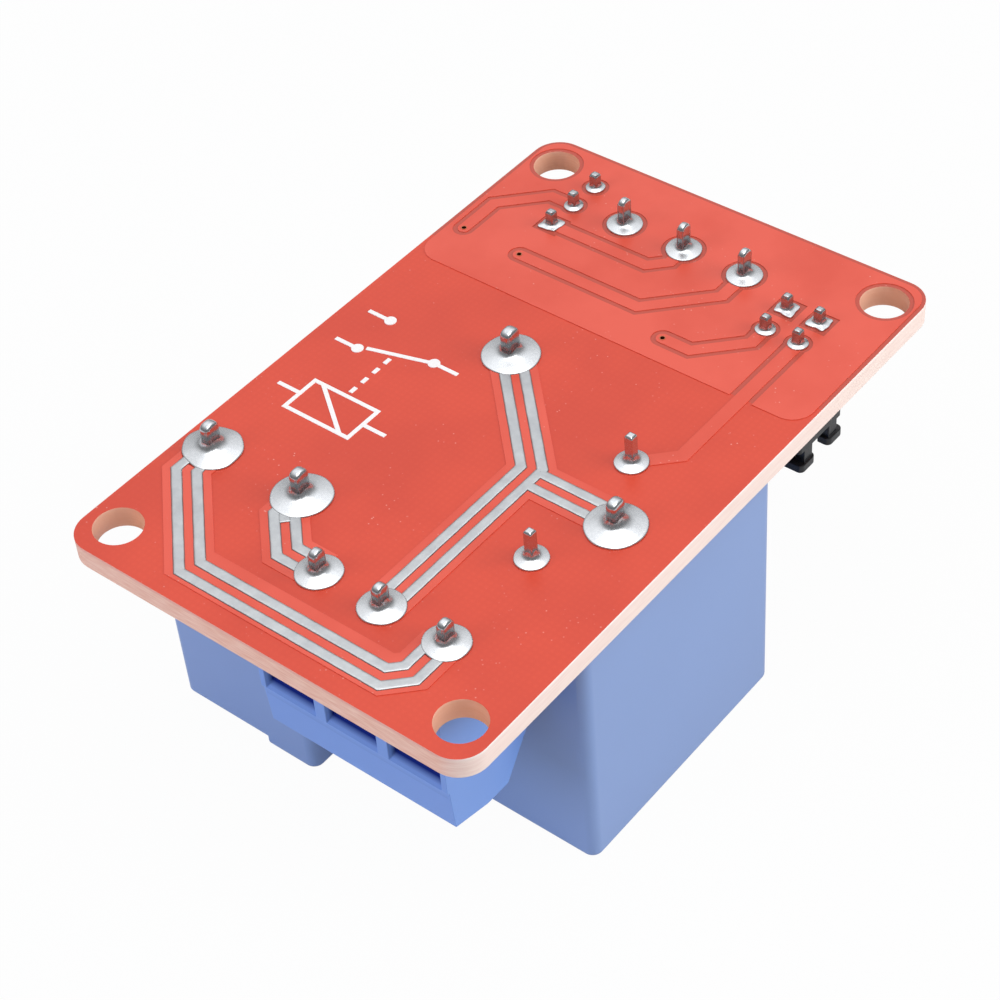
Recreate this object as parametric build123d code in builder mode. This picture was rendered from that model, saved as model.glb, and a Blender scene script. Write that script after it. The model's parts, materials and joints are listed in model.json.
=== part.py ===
from build123d import *
import os

os.makedirs("parts", exist_ok=True)

# One-channel relay module board, lying on its relay with the solder side up.
# The origin is the centre of the four mounting holes, on the solder-side face.
# X runs from the output terminals to the input terminals, Z points out of the solder side.

# Board
board_length = 50.0
board_width = 32.2
board_thickness = 1.6
board_corner_radius = 2.0
hole_inset_x = 2.7
hole_inset_y = 2.4
hole_spacing_x = board_length - 2 * hole_inset_x
hole_spacing_y = board_width - 2 * hole_inset_y
mount_hole_diameter = 3.3
via_radius = 0.2
underside = -board_thickness

# Foil, mask and tin on both faces
foil_thickness = 0.05
tin_thickness = 0.1
pad_clearance = 0.02
signal_width = 0.9
isolation = 0.35
supply_width = 1.0
heavy_width = 3.1
stripe_width = 0.78
stripe_pitch = 1.29
component_track_width = 0.6

# Relay pins
coil_axis_x = -4.76
coil_pin_y = -9.06
coil_pin_spacing = 10.16
coil_pin_side = 0.62
rear_common_drop = 2.54
side_common_out = 8.9
side_common_rise = 12.6
contact_pin_out = 9.0
no_pin_rise = 15.1
nc_pin_step = 7.62
rear_common_y = coil_pin_y - rear_common_drop
side_common_x = coil_axis_x + side_common_out
side_common_y = coil_pin_y + side_common_rise
contact_pin_x = coil_axis_x - contact_pin_out
no_pin_y = coil_pin_y + no_pin_rise
nc_pin_y = no_pin_y + nc_pin_step
load_pin_width = 1.0
load_pin_depth = 0.65
load_pin_height = 2.1
coil_pin_height = 2.4
case_back = 6.7

# Terminal blocks
terminal_pitch = 5.0
terminal_poles = 3
terminal_front = 4.02
terminal_back = 3.58
terminal_height = 10.8
output_reach = 4.38
output_middle_y = -4.26
driver_room = 9.16
input_middle_y = 0.54
output_pin_x = contact_pin_x - output_reach
input_pin_x = case_back + driver_room + terminal_back
terminal_pin_depth = 0.9
output_pin_width = 0.6
output_pin_height = 1.8
input_pin_width = 0.5
input_pin_height = 2.1

# Pin headers and jumper caps
pin_pitch = 2.54
header_pin_size = 0.64
header_body_height = 2.5
header_body_depth = 2.5
header_tail = 1.3
header_tip_reach = 8.3
select_poles = 3
supply_poles = 2
select_setback = 0.29
select_gap = 0.48
supply_setback = 2.62
trigger_gap = 0.57
select_x = input_pin_x - select_setback
input_half = terminal_poles * terminal_pitch / 2
select_y = input_middle_y + input_half + select_gap + header_body_depth / 2
supply_x = input_pin_x - supply_setback
trigger_y = input_middle_y - input_half - trigger_gap - header_body_depth / 2
supply_y = trigger_y - pin_pitch
header_floor = underside - header_body_height

# Solder joints: pad radius and the height that the solder climbs
load_pad_radius = 2.0
coil_pad_radius = 1.12
output_pad_radius = 1.52
input_pad_radius = 1.27
header_pad_radius = 0.68
solder_rim = 0.12
solder_collar = 0.15

load_pins = (
    (side_common_x, side_common_y),
    (coil_axis_x, rear_common_y),
    (contact_pin_x, no_pin_y),
    (contact_pin_x, nc_pin_y),
)
coil_pins = tuple((coil_axis_x + side * coil_pin_spacing / 2, coil_pin_y) for side in (-1, 1))


def pole_places(pin_x, middle_y):
    """Pin places of one terminal block, from +Y to -Y."""
    half = (terminal_poles - 1) / 2
    return tuple((pin_x, middle_y + (half - n) * terminal_pitch) for n in range(terminal_poles))


def pin_places(middle_x, y, count):
    """Pin places of one header, from -X to +X."""
    return tuple((middle_x + (n - (count - 1) / 2) * pin_pitch, y) for n in range(count))


output_pins = pole_places(output_pin_x, output_middle_y)
input_pins = pole_places(input_pin_x, input_middle_y)
select_pins = pin_places(select_x, select_y, select_poles)
supply_pins = pin_places(supply_x, supply_y, supply_poles)
trigger_pins = pin_places(supply_x, trigger_y, supply_poles)
headers = (("select_header", select_pins), ("supply_header", supply_pins), ("trigger_header", trigger_pins))
header_pins = select_pins + supply_pins + trigger_pins
square_pads = (select_pins[0], supply_pins[1], trigger_pins[1])
round_pads = (select_pins[1], select_pins[2], supply_pins[0], trigger_pins[0])

# Vias, and the sizes that place the copper between the pins
select_via_back = 6.54
select_via_rise = 4.87
signal_via_back = 6.72
signal_via_drop = 0.17
driver_via_back = 8.39
driver_via_rise = 5.08
select_via = (input_pin_x - select_via_back, select_y + select_via_rise)
signal_via = (input_pin_x - signal_via_back, select_y - signal_via_drop)
driver_via = (input_pin_x - driver_via_back, trigger_y + driver_via_rise)
vias = (select_via, signal_via, driver_via)
nc_rail_x = -22.1
nc_rail_bend = 2.45
nc_rail_turn = 1.15
nc_rail_foot = output_pins[2][1] + 0.2
nc_stripe_x = nc_rail_x - 0.25
no_rail_x = -17.95
no_rail_y = no_pin_y - 0.2
no_rail_bend = 1.85
common_y = output_pins[1][1]
branch_x = -4.38
select_cut = 2.87
signal_cut = 4.05
supply_cut = 1.15
driver_cut = 2.9
pour_left = 8.95
pour_margin = 0.3
pour_corner = 1.6
isolation_ring = 0.3


def dogleg(start, end, cut):
    """Along Y from the start, a 45 degree corner of the given size, then along X to the end."""
    x, y = start
    to_x, to_y = end
    turn_x = cut if to_x > x else -cut
    turn_y = cut if y > to_y else -cut
    return (start, (x, to_y + turn_y), (x + turn_x, to_y), end)


def nc_rail(x):
    """The rail from the normally-closed pin round to the third output pin, at the given X."""
    bend_x = contact_pin_x - nc_rail_bend
    return (
        (contact_pin_x, nc_pin_y),
        (bend_x, nc_pin_y),
        (x, nc_pin_y - bend_x + x),
        (x, nc_rail_foot + nc_rail_turn),
        (x + nc_rail_turn, nc_rail_foot),
        (output_pin_x, nc_rail_foot),
    )


def beside(route, distance):
    """The route moved to its left by a distance, with its bends mitred."""
    points = [Vector(x, y) for x, y in route]
    headings = [(end - start).normalized() for start, end in zip(points, points[1:])]
    sides = [Vector(-heading.Y, heading.X) for heading in headings]
    mitres = [(before + after) / (1 + before.dot(after)) for before, after in zip(sides, sides[1:])]
    moved = [point + side * distance for point, side in zip(points, [sides[0], *mitres, sides[-1]])]
    return tuple((point.X, point.Y) for point in moved)


# Routes of the copper, as the bends of each track's centre line
no_bend_x = contact_pin_x - no_rail_bend
no_rail = (
    (contact_pin_x, no_rail_y),
    (no_bend_x, no_rail_y),
    (no_rail_x, no_rail_y - no_bend_x + no_rail_x),
    (no_rail_x, output_pins[0][1]),
)
common_corner = (side_common_x - side_common_y + common_y, common_y)
common_rail = ((output_pin_x, common_y), common_corner, (side_common_x, side_common_y))
branch_rail = ((branch_x, common_y - stripe_pitch / 2), (branch_x, rear_common_y))
bands = (nc_rail(nc_rail_x), no_rail, common_rail, branch_rail)
striped_rails = (nc_rail(nc_stripe_x), no_rail, common_rail, branch_rail)
coil_corner = (coil_pins[1][0] + coil_pins[1][1] - supply_pins[0][1], supply_pins[0][1])
tracks = (
    (dogleg(select_pins[1], select_via, select_cut), signal_width),
    (dogleg(signal_via, input_pins[2], signal_cut), signal_width),
    (dogleg(select_pins[0], input_pins[1], supply_cut), signal_width),
    (dogleg(driver_via, trigger_pins[0], driver_cut), signal_width),
    ((coil_pins[1], coil_corner, supply_pins[0]), supply_width),
)

# The laminate, drilled for the fixings, the pins and the plated vias
load_hole_radius = 0.8
coil_hole_radius = 0.52
terminal_hole_radius = 0.68
header_hole_radius = 0.5
with BuildPart() as circuit_board:
    with BuildSketch():
        RectangleRounded(board_length, board_width, board_corner_radius)
        with GridLocations(hole_spacing_x, hole_spacing_y, 2, 2):
            Circle(mount_hole_diameter / 2, mode=Mode.SUBTRACT)
        with Locations(*load_pins):
            Circle(load_hole_radius, mode=Mode.SUBTRACT)
        with Locations(*coil_pins):
            Circle(coil_hole_radius, mode=Mode.SUBTRACT)
        with Locations(*output_pins, *input_pins):
            Circle(terminal_hole_radius, mode=Mode.SUBTRACT)
        with Locations(*header_pins):
            Circle(header_hole_radius, mode=Mode.SUBTRACT)
        with Locations(*vias):
            Circle(via_radius, mode=Mode.SUBTRACT)
    extrude(amount=-board_thickness)
circuit_board.part.label = "circuit_board"
export_step(circuit_board.part, "parts/circuit_board.step")


def clear_pads(extra):
    """Take every soldered pad out of the sketch in hand, with a margin round it."""
    with Locations(*load_pins):
        Circle(load_pad_radius + extra, mode=Mode.SUBTRACT)
    with Locations(*coil_pins):
        Circle(coil_pad_radius + extra, mode=Mode.SUBTRACT)
    with Locations(*output_pins):
        Circle(output_pad_radius + extra, mode=Mode.SUBTRACT)
    with Locations(*input_pins):
        Circle(input_pad_radius + extra, mode=Mode.SUBTRACT)
    with Locations(*round_pads):
        Circle(header_pad_radius + extra, mode=Mode.SUBTRACT)
    with Locations(*square_pads):
        Rectangle(2 * (header_pad_radius + extra), 2 * (header_pad_radius + extra), mode=Mode.SUBTRACT)


# Copper foil under the mask: heavy bands, and the pour with its isolated signal tracks
pour_right = board_length / 2 - pour_margin
pour_width = board_width - 2 * pour_margin
with BuildPart() as copper_foil:
    with BuildSketch():
        with Locations(((pour_left + pour_right) / 2, 0)):
            RectangleRounded(pour_right - pour_left, pour_width, pour_corner)
        for route, width in tracks:
            with BuildLine():
                Polyline(*route)
            trace(line_width=width + 2 * isolation, mode=Mode.SUBTRACT)
        clear_pads(isolation_ring)
        with Locations(*vias):
            Circle(signal_width / 2 + isolation, mode=Mode.SUBTRACT)
        for route, width in tracks:
            with BuildLine():
                Polyline(*route)
            trace(line_width=width)
        for route in bands:
            with BuildLine():
                Polyline(*route)
            trace(line_width=heavy_width)
        with Locations(*vias):
            Circle(signal_width / 2)
        clear_pads(pad_clearance)
        with Locations(*vias):
            Circle(via_radius, mode=Mode.SUBTRACT)
        with GridLocations(hole_spacing_x, hole_spacing_y, 2, 2):
            Circle(mount_hole_diameter / 2 + isolation_ring, mode=Mode.SUBTRACT)
    extrude(amount=foil_thickness)
copper_foil.part.label = "copper_foil"
export_step(copper_foil.part, "parts/copper_foil.step")

# Two bare stripes in the mask over each heavy band, thickly tinned to carry the load current
with BuildPart() as tinned_stripes:
    with BuildSketch(Plane.XY.offset(foil_thickness)):
        for rail in striped_rails:
            for side in (-1, 1):
                with BuildLine():
                    Polyline(*beside(rail, side * stripe_pitch / 2))
                trace(line_width=stripe_width)
        clear_pads(pad_clearance)
    extrude(amount=tin_thickness)
tinned_stripes.part.label = "tinned_stripes"
export_step(tinned_stripes.part, "parts/tinned_stripes.step")

# Solder joints: a thin rim on the pad, then a hollow slope up to the pin, one group per kind of pin
waist_reach = 0.36
waist_rise = 0.2
load_solder_height = 1.05
coil_solder_height = 0.6
output_solder_height = 0.95
input_solder_height = 0.6
header_solder_height = 0.8
square_taper = 20
load_pin_size = (load_pin_width, load_pin_depth)
coil_pin_size = (coil_pin_side, coil_pin_side)
output_pin_size = (terminal_pin_depth, output_pin_width)
input_pin_size = (terminal_pin_depth, input_pin_width)
header_pin_section = (header_pin_size, header_pin_size)
load_joints = tuple((place, load_pad_radius, load_pin_size, load_solder_height) for place in load_pins)
coil_joints = tuple((place, coil_pad_radius, coil_pin_size, coil_solder_height) for place in coil_pins)
output_joints = tuple(
    (place, output_pad_radius, output_pin_size, output_solder_height) for place in output_pins
)
input_joints = tuple(
    (place, input_pad_radius, input_pin_size, input_solder_height) for place in input_pins
)
round_joints = tuple(
    (place, header_pad_radius, header_pin_section, header_solder_height) for place in round_pads
)
solder_groups = (
    ("relay_solder", load_joints + coil_joints, ()),
    ("output_solder", output_joints, ()),
    ("input_solder", input_joints, ()),
    ("header_solder", round_joints, square_pads),
)
for name, joints, square_joints in solder_groups:
    with BuildPart() as solder:
        for (x, y), pad_radius, pin_size, height in joints:
            neck = max(pin_size) / 2 + solder_collar
            waist = (
                neck + (pad_radius - neck) * waist_reach,
                solder_rim + (height - solder_rim) * waist_rise,
            )
            with BuildSketch(Plane(origin=(x, y, 0), x_dir=(1, 0, 0), z_dir=(0, -1, 0))):
                with BuildLine():
                    Polyline(
                        (neck, height),
                        (0, height),
                        (0, 0),
                        (pad_radius, 0),
                        (pad_radius, solder_rim),
                        waist,
                        close=True,
                    )
                make_face()
            revolve(axis=Axis((x, y, 0), (0, 0, 1)))
            with BuildSketch():
                with Locations((x, y)):
                    Rectangle(*pin_size)
            extrude(amount=height, mode=Mode.SUBTRACT)
        for place in square_joints:
            with BuildSketch():
                with Locations(place):
                    Rectangle(2 * header_pad_radius, 2 * header_pad_radius)
            extrude(amount=header_solder_height, taper=square_taper)
            with BuildSketch():
                with Locations(place):
                    Rectangle(header_pin_size, header_pin_size)
            extrude(amount=header_solder_height, mode=Mode.SUBTRACT)
    solder.part.label = name
    export_step(solder.part, f"parts/{name}.step")

# Relay case: an open-mouthed box with one corner set back for the output terminals
case_front = -18.1
case_set_back = -13.15
case_left = 16.3
case_right = -15.35
case_notch_y = 4.3
case_wall = 1.0
case_roof = 1.7
foot_height = 0.3
case_rim = underside - foot_height
case_height = 19.5
case_end = case_rim - case_height
case_step_y = 8.6
case_step_depth = 0.85
case_corner_radius = 0.8
case_edge_radius = 0.4
base_clearance = 0.05
base_thickness = 2.2


def relay_outline(inset):
    """Corners of the relay's L-shaped outline, moved inwards by the inset."""
    return (
        (case_front + inset, case_left - inset),
        (case_back - inset, case_left - inset),
        (case_back - inset, case_right + inset),
        (case_set_back + inset, case_right + inset),
        (case_set_back + inset, case_notch_y + inset),
        (case_front + inset, case_notch_y + inset),
    )


with BuildPart() as relay_case:
    with BuildSketch(Plane.XY.offset(case_rim)):
        with BuildLine():
            Polyline(*relay_outline(0), close=True)
        make_face()
    extrude(amount=-case_height)
    fillet(relay_case.edges().filter_by(Axis.Z), case_corner_radius)
    with BuildSketch(Plane.XY.offset(case_end)):
        with Locations((0, (case_step_y + board_width) / 2)):
            Rectangle(board_length, board_width - case_step_y)
    extrude(amount=case_step_depth, mode=Mode.SUBTRACT)
    fillet(relay_case.faces().sort_by(Axis.Z)[0].edges(), case_edge_radius)
    with BuildSketch(Plane.XY.offset(case_rim)):
        with BuildLine():
            Polyline(*relay_outline(case_wall), close=True)
        make_face()
    extrude(amount=-(case_height - case_roof), mode=Mode.SUBTRACT)
relay_case.part.label = "relay_case"
export_step(relay_case.part, "parts/relay_case.step")

# Relay base: a moulded plate in the case's mouth, on four small feet
base_floor = case_rim - base_thickness
foot_radius = 0.75
slot_clearance = 0.05
foot_inset = case_wall + 2
foot_places = (
    (case_front + foot_inset, case_left - foot_inset),
    (case_back - foot_inset, case_left - foot_inset),
    (case_back - foot_inset, case_right + foot_inset),
    (case_set_back + foot_inset, case_right + foot_inset),
)
with BuildPart() as relay_base:
    with BuildSketch(Plane.XY.offset(case_rim)):
        with BuildLine():
            Polyline(*relay_outline(case_wall + base_clearance), close=True)
        make_face()
    extrude(amount=-base_thickness)
    with BuildSketch(Plane.XY.offset(underside)):
        with Locations(*foot_places):
            Circle(foot_radius)
    extrude(amount=-foot_height)
    with BuildSketch(Plane.XY.offset(underside)):
        with Locations(*load_pins):
            Rectangle(load_pin_width + 2 * slot_clearance, load_pin_depth + 2 * slot_clearance)
        with Locations(*coil_pins):
            Rectangle(coil_pin_side + 2 * slot_clearance, coil_pin_side + 2 * slot_clearance)
    extrude(amount=base_floor - underside, mode=Mode.SUBTRACT)
relay_base.part.label = "relay_base"
export_step(relay_base.part, "parts/relay_base.step")

# Coil: wound bobbin on its core, with its axis along Y
coil_axis_z = (base_floor + case_end + case_roof) / 2
bobbin_flange_radius = 7.2
bobbin_tube_radius = 3.9
bobbin_bore_radius = 3.05
flange_thickness = 1.0
core_radius = 3.0
core_neck_radius = 1.5
rivet_clearance = 0.02
winding_radius = 6.0
winding_clearance = 0.05
yoke_thickness = 1.5
yoke_rear = rear_common_y - yoke_thickness / 2
yoke_front = rear_common_y + yoke_thickness / 2
bobbin_clearance = 0.1
bobbin_rear = yoke_front + bobbin_clearance
bobbin_front = 5.1
coil_plane = Plane(origin=(coil_axis_x, 0, coil_axis_z))
coil_axis = Axis((coil_axis_x, 0, coil_axis_z), (0, 1, 0))
pin_foot_depth = 2.75
pin_foot_top = base_floor - base_clearance
pin_foot_overlap = 1.15
pin_foot_height = pin_foot_top - (coil_axis_z + bobbin_flange_radius - pin_foot_overlap)
pin_foot_margin = 1.4
pin_foot_length = coil_pin_spacing + 2 * pin_foot_margin
coil_pin_root = 1.4
coil_pin_chamfer = 0.12


def ring_profile(inner, outer, start, end):
    """Add one rectangular ring section about the coil's axis to the sketch in hand."""
    with Locations(((inner + outer) / 2, (start + end) / 2)):
        Rectangle(outer - inner, end - start)


with BuildPart() as coil_bobbin:
    with BuildSketch(coil_plane):
        ring_profile(bobbin_bore_radius, bobbin_tube_radius, bobbin_rear, bobbin_front)
        ring_profile(bobbin_bore_radius, bobbin_flange_radius, bobbin_rear, bobbin_rear + flange_thickness)
        ring_profile(
            bobbin_bore_radius, bobbin_flange_radius, bobbin_front - flange_thickness, bobbin_front
        )
    revolve(axis=coil_axis)
    with BuildSketch(Plane.XY.offset(pin_foot_top)):
        with Locations((coil_axis_x, bobbin_rear + pin_foot_depth / 2)):
            Rectangle(pin_foot_length, pin_foot_depth)
    extrude(amount=-pin_foot_height)
    with BuildSketch(Plane.XY.offset(pin_foot_top)):
        with Locations(*coil_pins):
            Rectangle(coil_pin_side + 2 * slot_clearance, coil_pin_side + 2 * slot_clearance)
    extrude(amount=-pin_foot_height, mode=Mode.SUBTRACT)
coil_bobbin.part.label = "coil_bobbin"
export_step(coil_bobbin.part, "parts/coil_bobbin.step")

with BuildPart() as coil_winding:
    with BuildSketch(coil_plane):
        ring_profile(
            bobbin_tube_radius + winding_clearance,
            winding_radius,
            bobbin_rear + flange_thickness + winding_clearance,
            bobbin_front - flange_thickness - winding_clearance,
        )
    revolve(axis=coil_axis)
coil_winding.part.label = "coil_winding"
export_step(coil_winding.part, "parts/coil_winding.step")

# Core: a turned rod with a pole face, riveted through the yoke
pole_face_y = 6.05
pole_radius = 4.2
rivet_radius = 2.2
rivet_height = 0.5
with BuildPart() as coil_core:
    with BuildSketch(coil_plane):
        with BuildLine():
            Polyline(
                (0, yoke_rear - rivet_height),
                (rivet_radius, yoke_rear - rivet_height),
                (rivet_radius, yoke_rear),
                (core_neck_radius, yoke_rear),
                (core_neck_radius, yoke_front),
                (core_radius, yoke_front),
                (core_radius, bobbin_front + base_clearance),
                (pole_radius, bobbin_front + base_clearance),
                (pole_radius, pole_face_y),
                (0, pole_face_y),
                close=True,
            )
        make_face()
    revolve(axis=coil_axis)
coil_core.part.label = "coil_core"
export_step(coil_core.part, "parts/coil_core.step")

with BuildPart() as coil_pin_pair:
    with BuildSketch(Plane.XY.offset(coil_pin_height)):
        with Locations(*coil_pins):
            Rectangle(coil_pin_side, coil_pin_side)
    extrude(amount=pin_foot_top - coil_pin_root - coil_pin_height)
    chamfer(coil_pin_pair.faces().group_by(Axis.Z)[-1].edges(), coil_pin_chamfer)
coil_pin_pair.part.label = "coil_pin_pair"
export_step(coil_pin_pair.part, "parts/coil_pin_pair.step")

# Yoke: a bent iron plate behind and beside the coil, with its two common pins
yoke_height = 11.0
yoke_left = coil_axis_x - yoke_height / 2
yoke_side_inner = side_common_x - yoke_thickness / 2
yoke_side_outer = side_common_x + yoke_thickness / 2
yoke_end = 6.8
yoke_edge_z = coil_axis_z + yoke_height / 2
tip_round = 0.3
with BuildPart() as yoke:
    with BuildSketch(Plane.XY.offset(yoke_edge_z)):
        with BuildLine():
            Polyline(
                (yoke_left, yoke_rear),
                (yoke_side_outer, yoke_rear),
                (yoke_side_outer, yoke_end),
                (yoke_side_inner, yoke_end),
                (yoke_side_inner, yoke_front),
                (yoke_left, yoke_front),
                close=True,
            )
        make_face()
    extrude(amount=-yoke_height)
    with BuildSketch(Plane.XZ.offset(-yoke_front)):
        with Locations((coil_axis_x, coil_axis_z)):
            Circle(core_neck_radius + rivet_clearance)
    extrude(amount=yoke_thickness, mode=Mode.SUBTRACT)
    with BuildSketch(Plane.XY.offset(yoke_edge_z)):
        with Locations(*load_pins[:2]):
            Rectangle(load_pin_width, load_pin_depth)
    extrude(amount=load_pin_height - yoke_edge_z)
    fillet(yoke.faces().group_by(Axis.Z)[-1].edges(), tip_round)
yoke.part.label = "yoke"
export_step(yoke.part, "parts/yoke.step")

# Armature: an iron plate that hinges on the yoke's end and is pulled to the pole face
hinge_gap = 0.1
armature_thickness = 1.5
armature_inner = yoke_end + hinge_gap
armature_outer = armature_inner + armature_thickness
armature_width = 10.0
armature_corner = 1.2
armature_overhang = 1.0
heel_inset = 0.2
armature_tip_x = coil_axis_x - pole_radius - armature_overhang
armature_heel_x = yoke_side_outer - heel_inset
with BuildPart() as armature:
    with BuildSketch(Plane.XY.offset(coil_axis_z + armature_width / 2)):
        with Locations(((armature_tip_x + armature_heel_x) / 2, (armature_inner + armature_outer) / 2)):
            Rectangle(armature_heel_x - armature_tip_x, armature_thickness)
    extrude(amount=-armature_width)
    fillet(armature.edges().filter_by(Axis.Y), armature_corner)
armature.part.label = "armature"
export_step(armature.part, "parts/armature.step")

# Contact spring: a bent strip riveted to the armature, with the moving contact at its free end
blade_thickness = 0.35
blade_inner = armature_outer + base_clearance
blade_outer = blade_inner + blade_thickness
blade_width = 5.0
blade_margin = 0.2
blade_leg_inner = yoke_side_outer + base_clearance
blade_leg_outer = blade_leg_inner + blade_thickness
blade_leg_end_y = 4.4
contact_radius = 1.7
blade_tip_x = contact_pin_x - contact_radius - blade_margin
moving_contact_reach = 0.6
moving_contact_back = 0.5
contact_shank_radius = 0.8
rivet_head = 0.4
rivet_spacing = 6.0
with BuildPart() as contact_spring:
    with BuildSketch(Plane.XY.offset(coil_axis_z + blade_width / 2)):
        with BuildLine():
            Polyline(
                (blade_tip_x, blade_inner),
                (blade_tip_x, blade_outer),
                (blade_leg_outer, blade_outer),
                (blade_leg_outer, blade_leg_end_y),
                (blade_leg_inner, blade_leg_end_y),
                (blade_leg_inner, blade_inner),
                close=True,
            )
        make_face()
    extrude(amount=-blade_width)
    with BuildSketch(Plane.XZ.offset(-blade_inner)):
        with Locations((contact_pin_x, coil_axis_z)):
            Circle(contact_shank_radius + rivet_clearance)
    extrude(amount=-blade_thickness, mode=Mode.SUBTRACT)
    with BuildSketch(Plane.XZ.offset(-blade_outer)):
        with Locations(*((coil_axis_x + side * rivet_spacing / 2, coil_axis_z) for side in (-1, 1))):
            Circle(contact_shank_radius)
    extrude(amount=-rivet_head)
contact_spring.part.label = "contact_spring"
export_step(contact_spring.part, "parts/contact_spring.step")


moving_contact_steps = (
    (blade_inner - moving_contact_back, moving_contact_back, contact_radius),
    (blade_inner, blade_thickness, contact_shank_radius),
    (blade_outer, moving_contact_reach, contact_radius),
)
with BuildPart() as moving_contact:
    for start_y, length, radius in moving_contact_steps:
        with BuildSketch(Plane.XZ.offset(-start_y)):
            with Locations((contact_pin_x, coil_axis_z)):
                Circle(radius)
        extrude(amount=-length)
moving_contact.part.label = "moving_contact"
export_step(moving_contact.part, "parts/moving_contact.step")

# Fixed contacts: each is a bent strip from its pin up to the moving contact, with its button
strip_width = 3.0
strip_thickness = 0.8
strip_top_z = coil_axis_z - contact_radius - 0.5
strip_foot_z = base_floor - 0.3
button_height = 0.5
contact_gap = 1.05
closed_gap = 0.05
no_face_y = blade_inner - moving_contact_back - contact_gap
nc_face_y = blade_outer + moving_contact_reach + closed_gap
nc_strip_y = nc_face_y + button_height
no_strip_face_y = no_pin_y + strip_thickness / 2
nc_foot_end_y = nc_pin_y + load_pin_depth / 2


def side_plane(x):
    """A plane facing +X, drawn with Y to the right and Z up."""
    return Plane(origin=(x, 0, 0), x_dir=(0, 1, 0), z_dir=(1, 0, 0))


no_profile = (
    (no_pin_y - strip_thickness / 2, strip_top_z),
    (no_strip_face_y, strip_top_z),
    (no_strip_face_y, strip_foot_z),
    (no_pin_y - strip_thickness / 2, strip_foot_z),
)
nc_profile = (
    (nc_strip_y, strip_top_z),
    (nc_strip_y + strip_thickness, strip_top_z),
    (nc_strip_y + strip_thickness, strip_foot_z - strip_thickness),
    (nc_foot_end_y, strip_foot_z - strip_thickness),
    (nc_foot_end_y, strip_foot_z),
    (nc_strip_y, strip_foot_z),
)
fixed_contacts = (
    ("no_contact", no_profile, no_pin_y, no_strip_face_y, no_face_y - no_strip_face_y),
    ("nc_contact", nc_profile, nc_pin_y, nc_face_y, button_height),
)
for name, profile, pin_y, button_y, button_length in fixed_contacts:
    with BuildPart() as fixed_contact:
        with BuildSketch(side_plane(contact_pin_x)):
            with BuildLine():
                Polyline(*profile, close=True)
            make_face()
        extrude(amount=strip_width / 2, both=True)
        with BuildSketch(Plane.XY.offset(strip_foot_z)):
            with Locations((contact_pin_x, pin_y)):
                Rectangle(load_pin_width, load_pin_depth)
        extrude(amount=load_pin_height - strip_foot_z)
        fillet(fixed_contact.faces().group_by(Axis.Z)[-1].edges(), tip_round)
        with BuildSketch(Plane.XZ.offset(-button_y)):
            with Locations((contact_pin_x, coil_axis_z)):
                Circle(contact_radius)
        extrude(amount=-button_length)
    fixed_contact.part.label = name
    export_step(fixed_contact.part, f"parts/{name}.step")

# Terminal blocks: a moulded housing and, in each pole, a screw, a rising clamp and a current bar
block_width = terminal_poles * terminal_pitch
block_roof = underside - terminal_height
sill_z = -8.1
sill_lip = 0.17
front_slant = 0.42
front_low_z = -11.65
roof_front = 0.6
roof_back = 1.4
back_slope_z = -9.15
back_bevel = 0.4
window_width = 4.14
window_low = -2.4
throat_width = 3.0
throat_sill_z = -6.6
pocket_front = 2.6
pocket_back = 1.5
pocket_width = 3.9
pocket_roof = -9.8
screw_u = 0.9
ledge_z = -10.3
ledge_hole_radius = 1.55
head_hole_radius = 2.0
screw_head_radius = 1.85
screw_head_height = 1.4
screw_shank_radius = 1.25
screw_slot_width = 0.5
screw_slot_depth = 0.7
thread_clearance = 0.06
bar_top_z = -6.3
bar_thickness = 0.7
bar_width = 2.3
bar_front = 2.1
leg_thickness = 0.5
leg_back = 1.3
jog_gap = 0.1
terminal_tip_round = 0.2
clamp_width = 3.5
clamp_front = 2.4
clamp_back = 0.6
clamp_bottom_z = -2.5
clamp_floor = 0.7
clamp_wall = 0.5
clamp_top_z = -7.4
clamp_bar = 1.0
head_clearance = 0.05
head_chamfer = 0.2

blocks = (
    ("output", output_pin_x, output_middle_y, -1, output_pins, output_pin_width, output_pin_height),
    ("input", input_pin_x, input_middle_y, 1, input_pins, input_pin_width, input_pin_height),
)


def block_plane(pin_x, y, facing):
    """A plane across one pole, drawn with X towards the wire entry and Y as the real Z."""
    return Plane(origin=(pin_x, y, 0), x_dir=(facing, 0, 0), z_dir=(0, -facing, 0))


def entry_plane(pin_x, y, facing, reach):
    """A plane facing the wire entry, drawn with Y as the real Z."""
    return Plane(origin=(pin_x + facing * reach, y, 0), x_dir=(0, facing, 0), z_dir=(facing, 0, 0))


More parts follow.
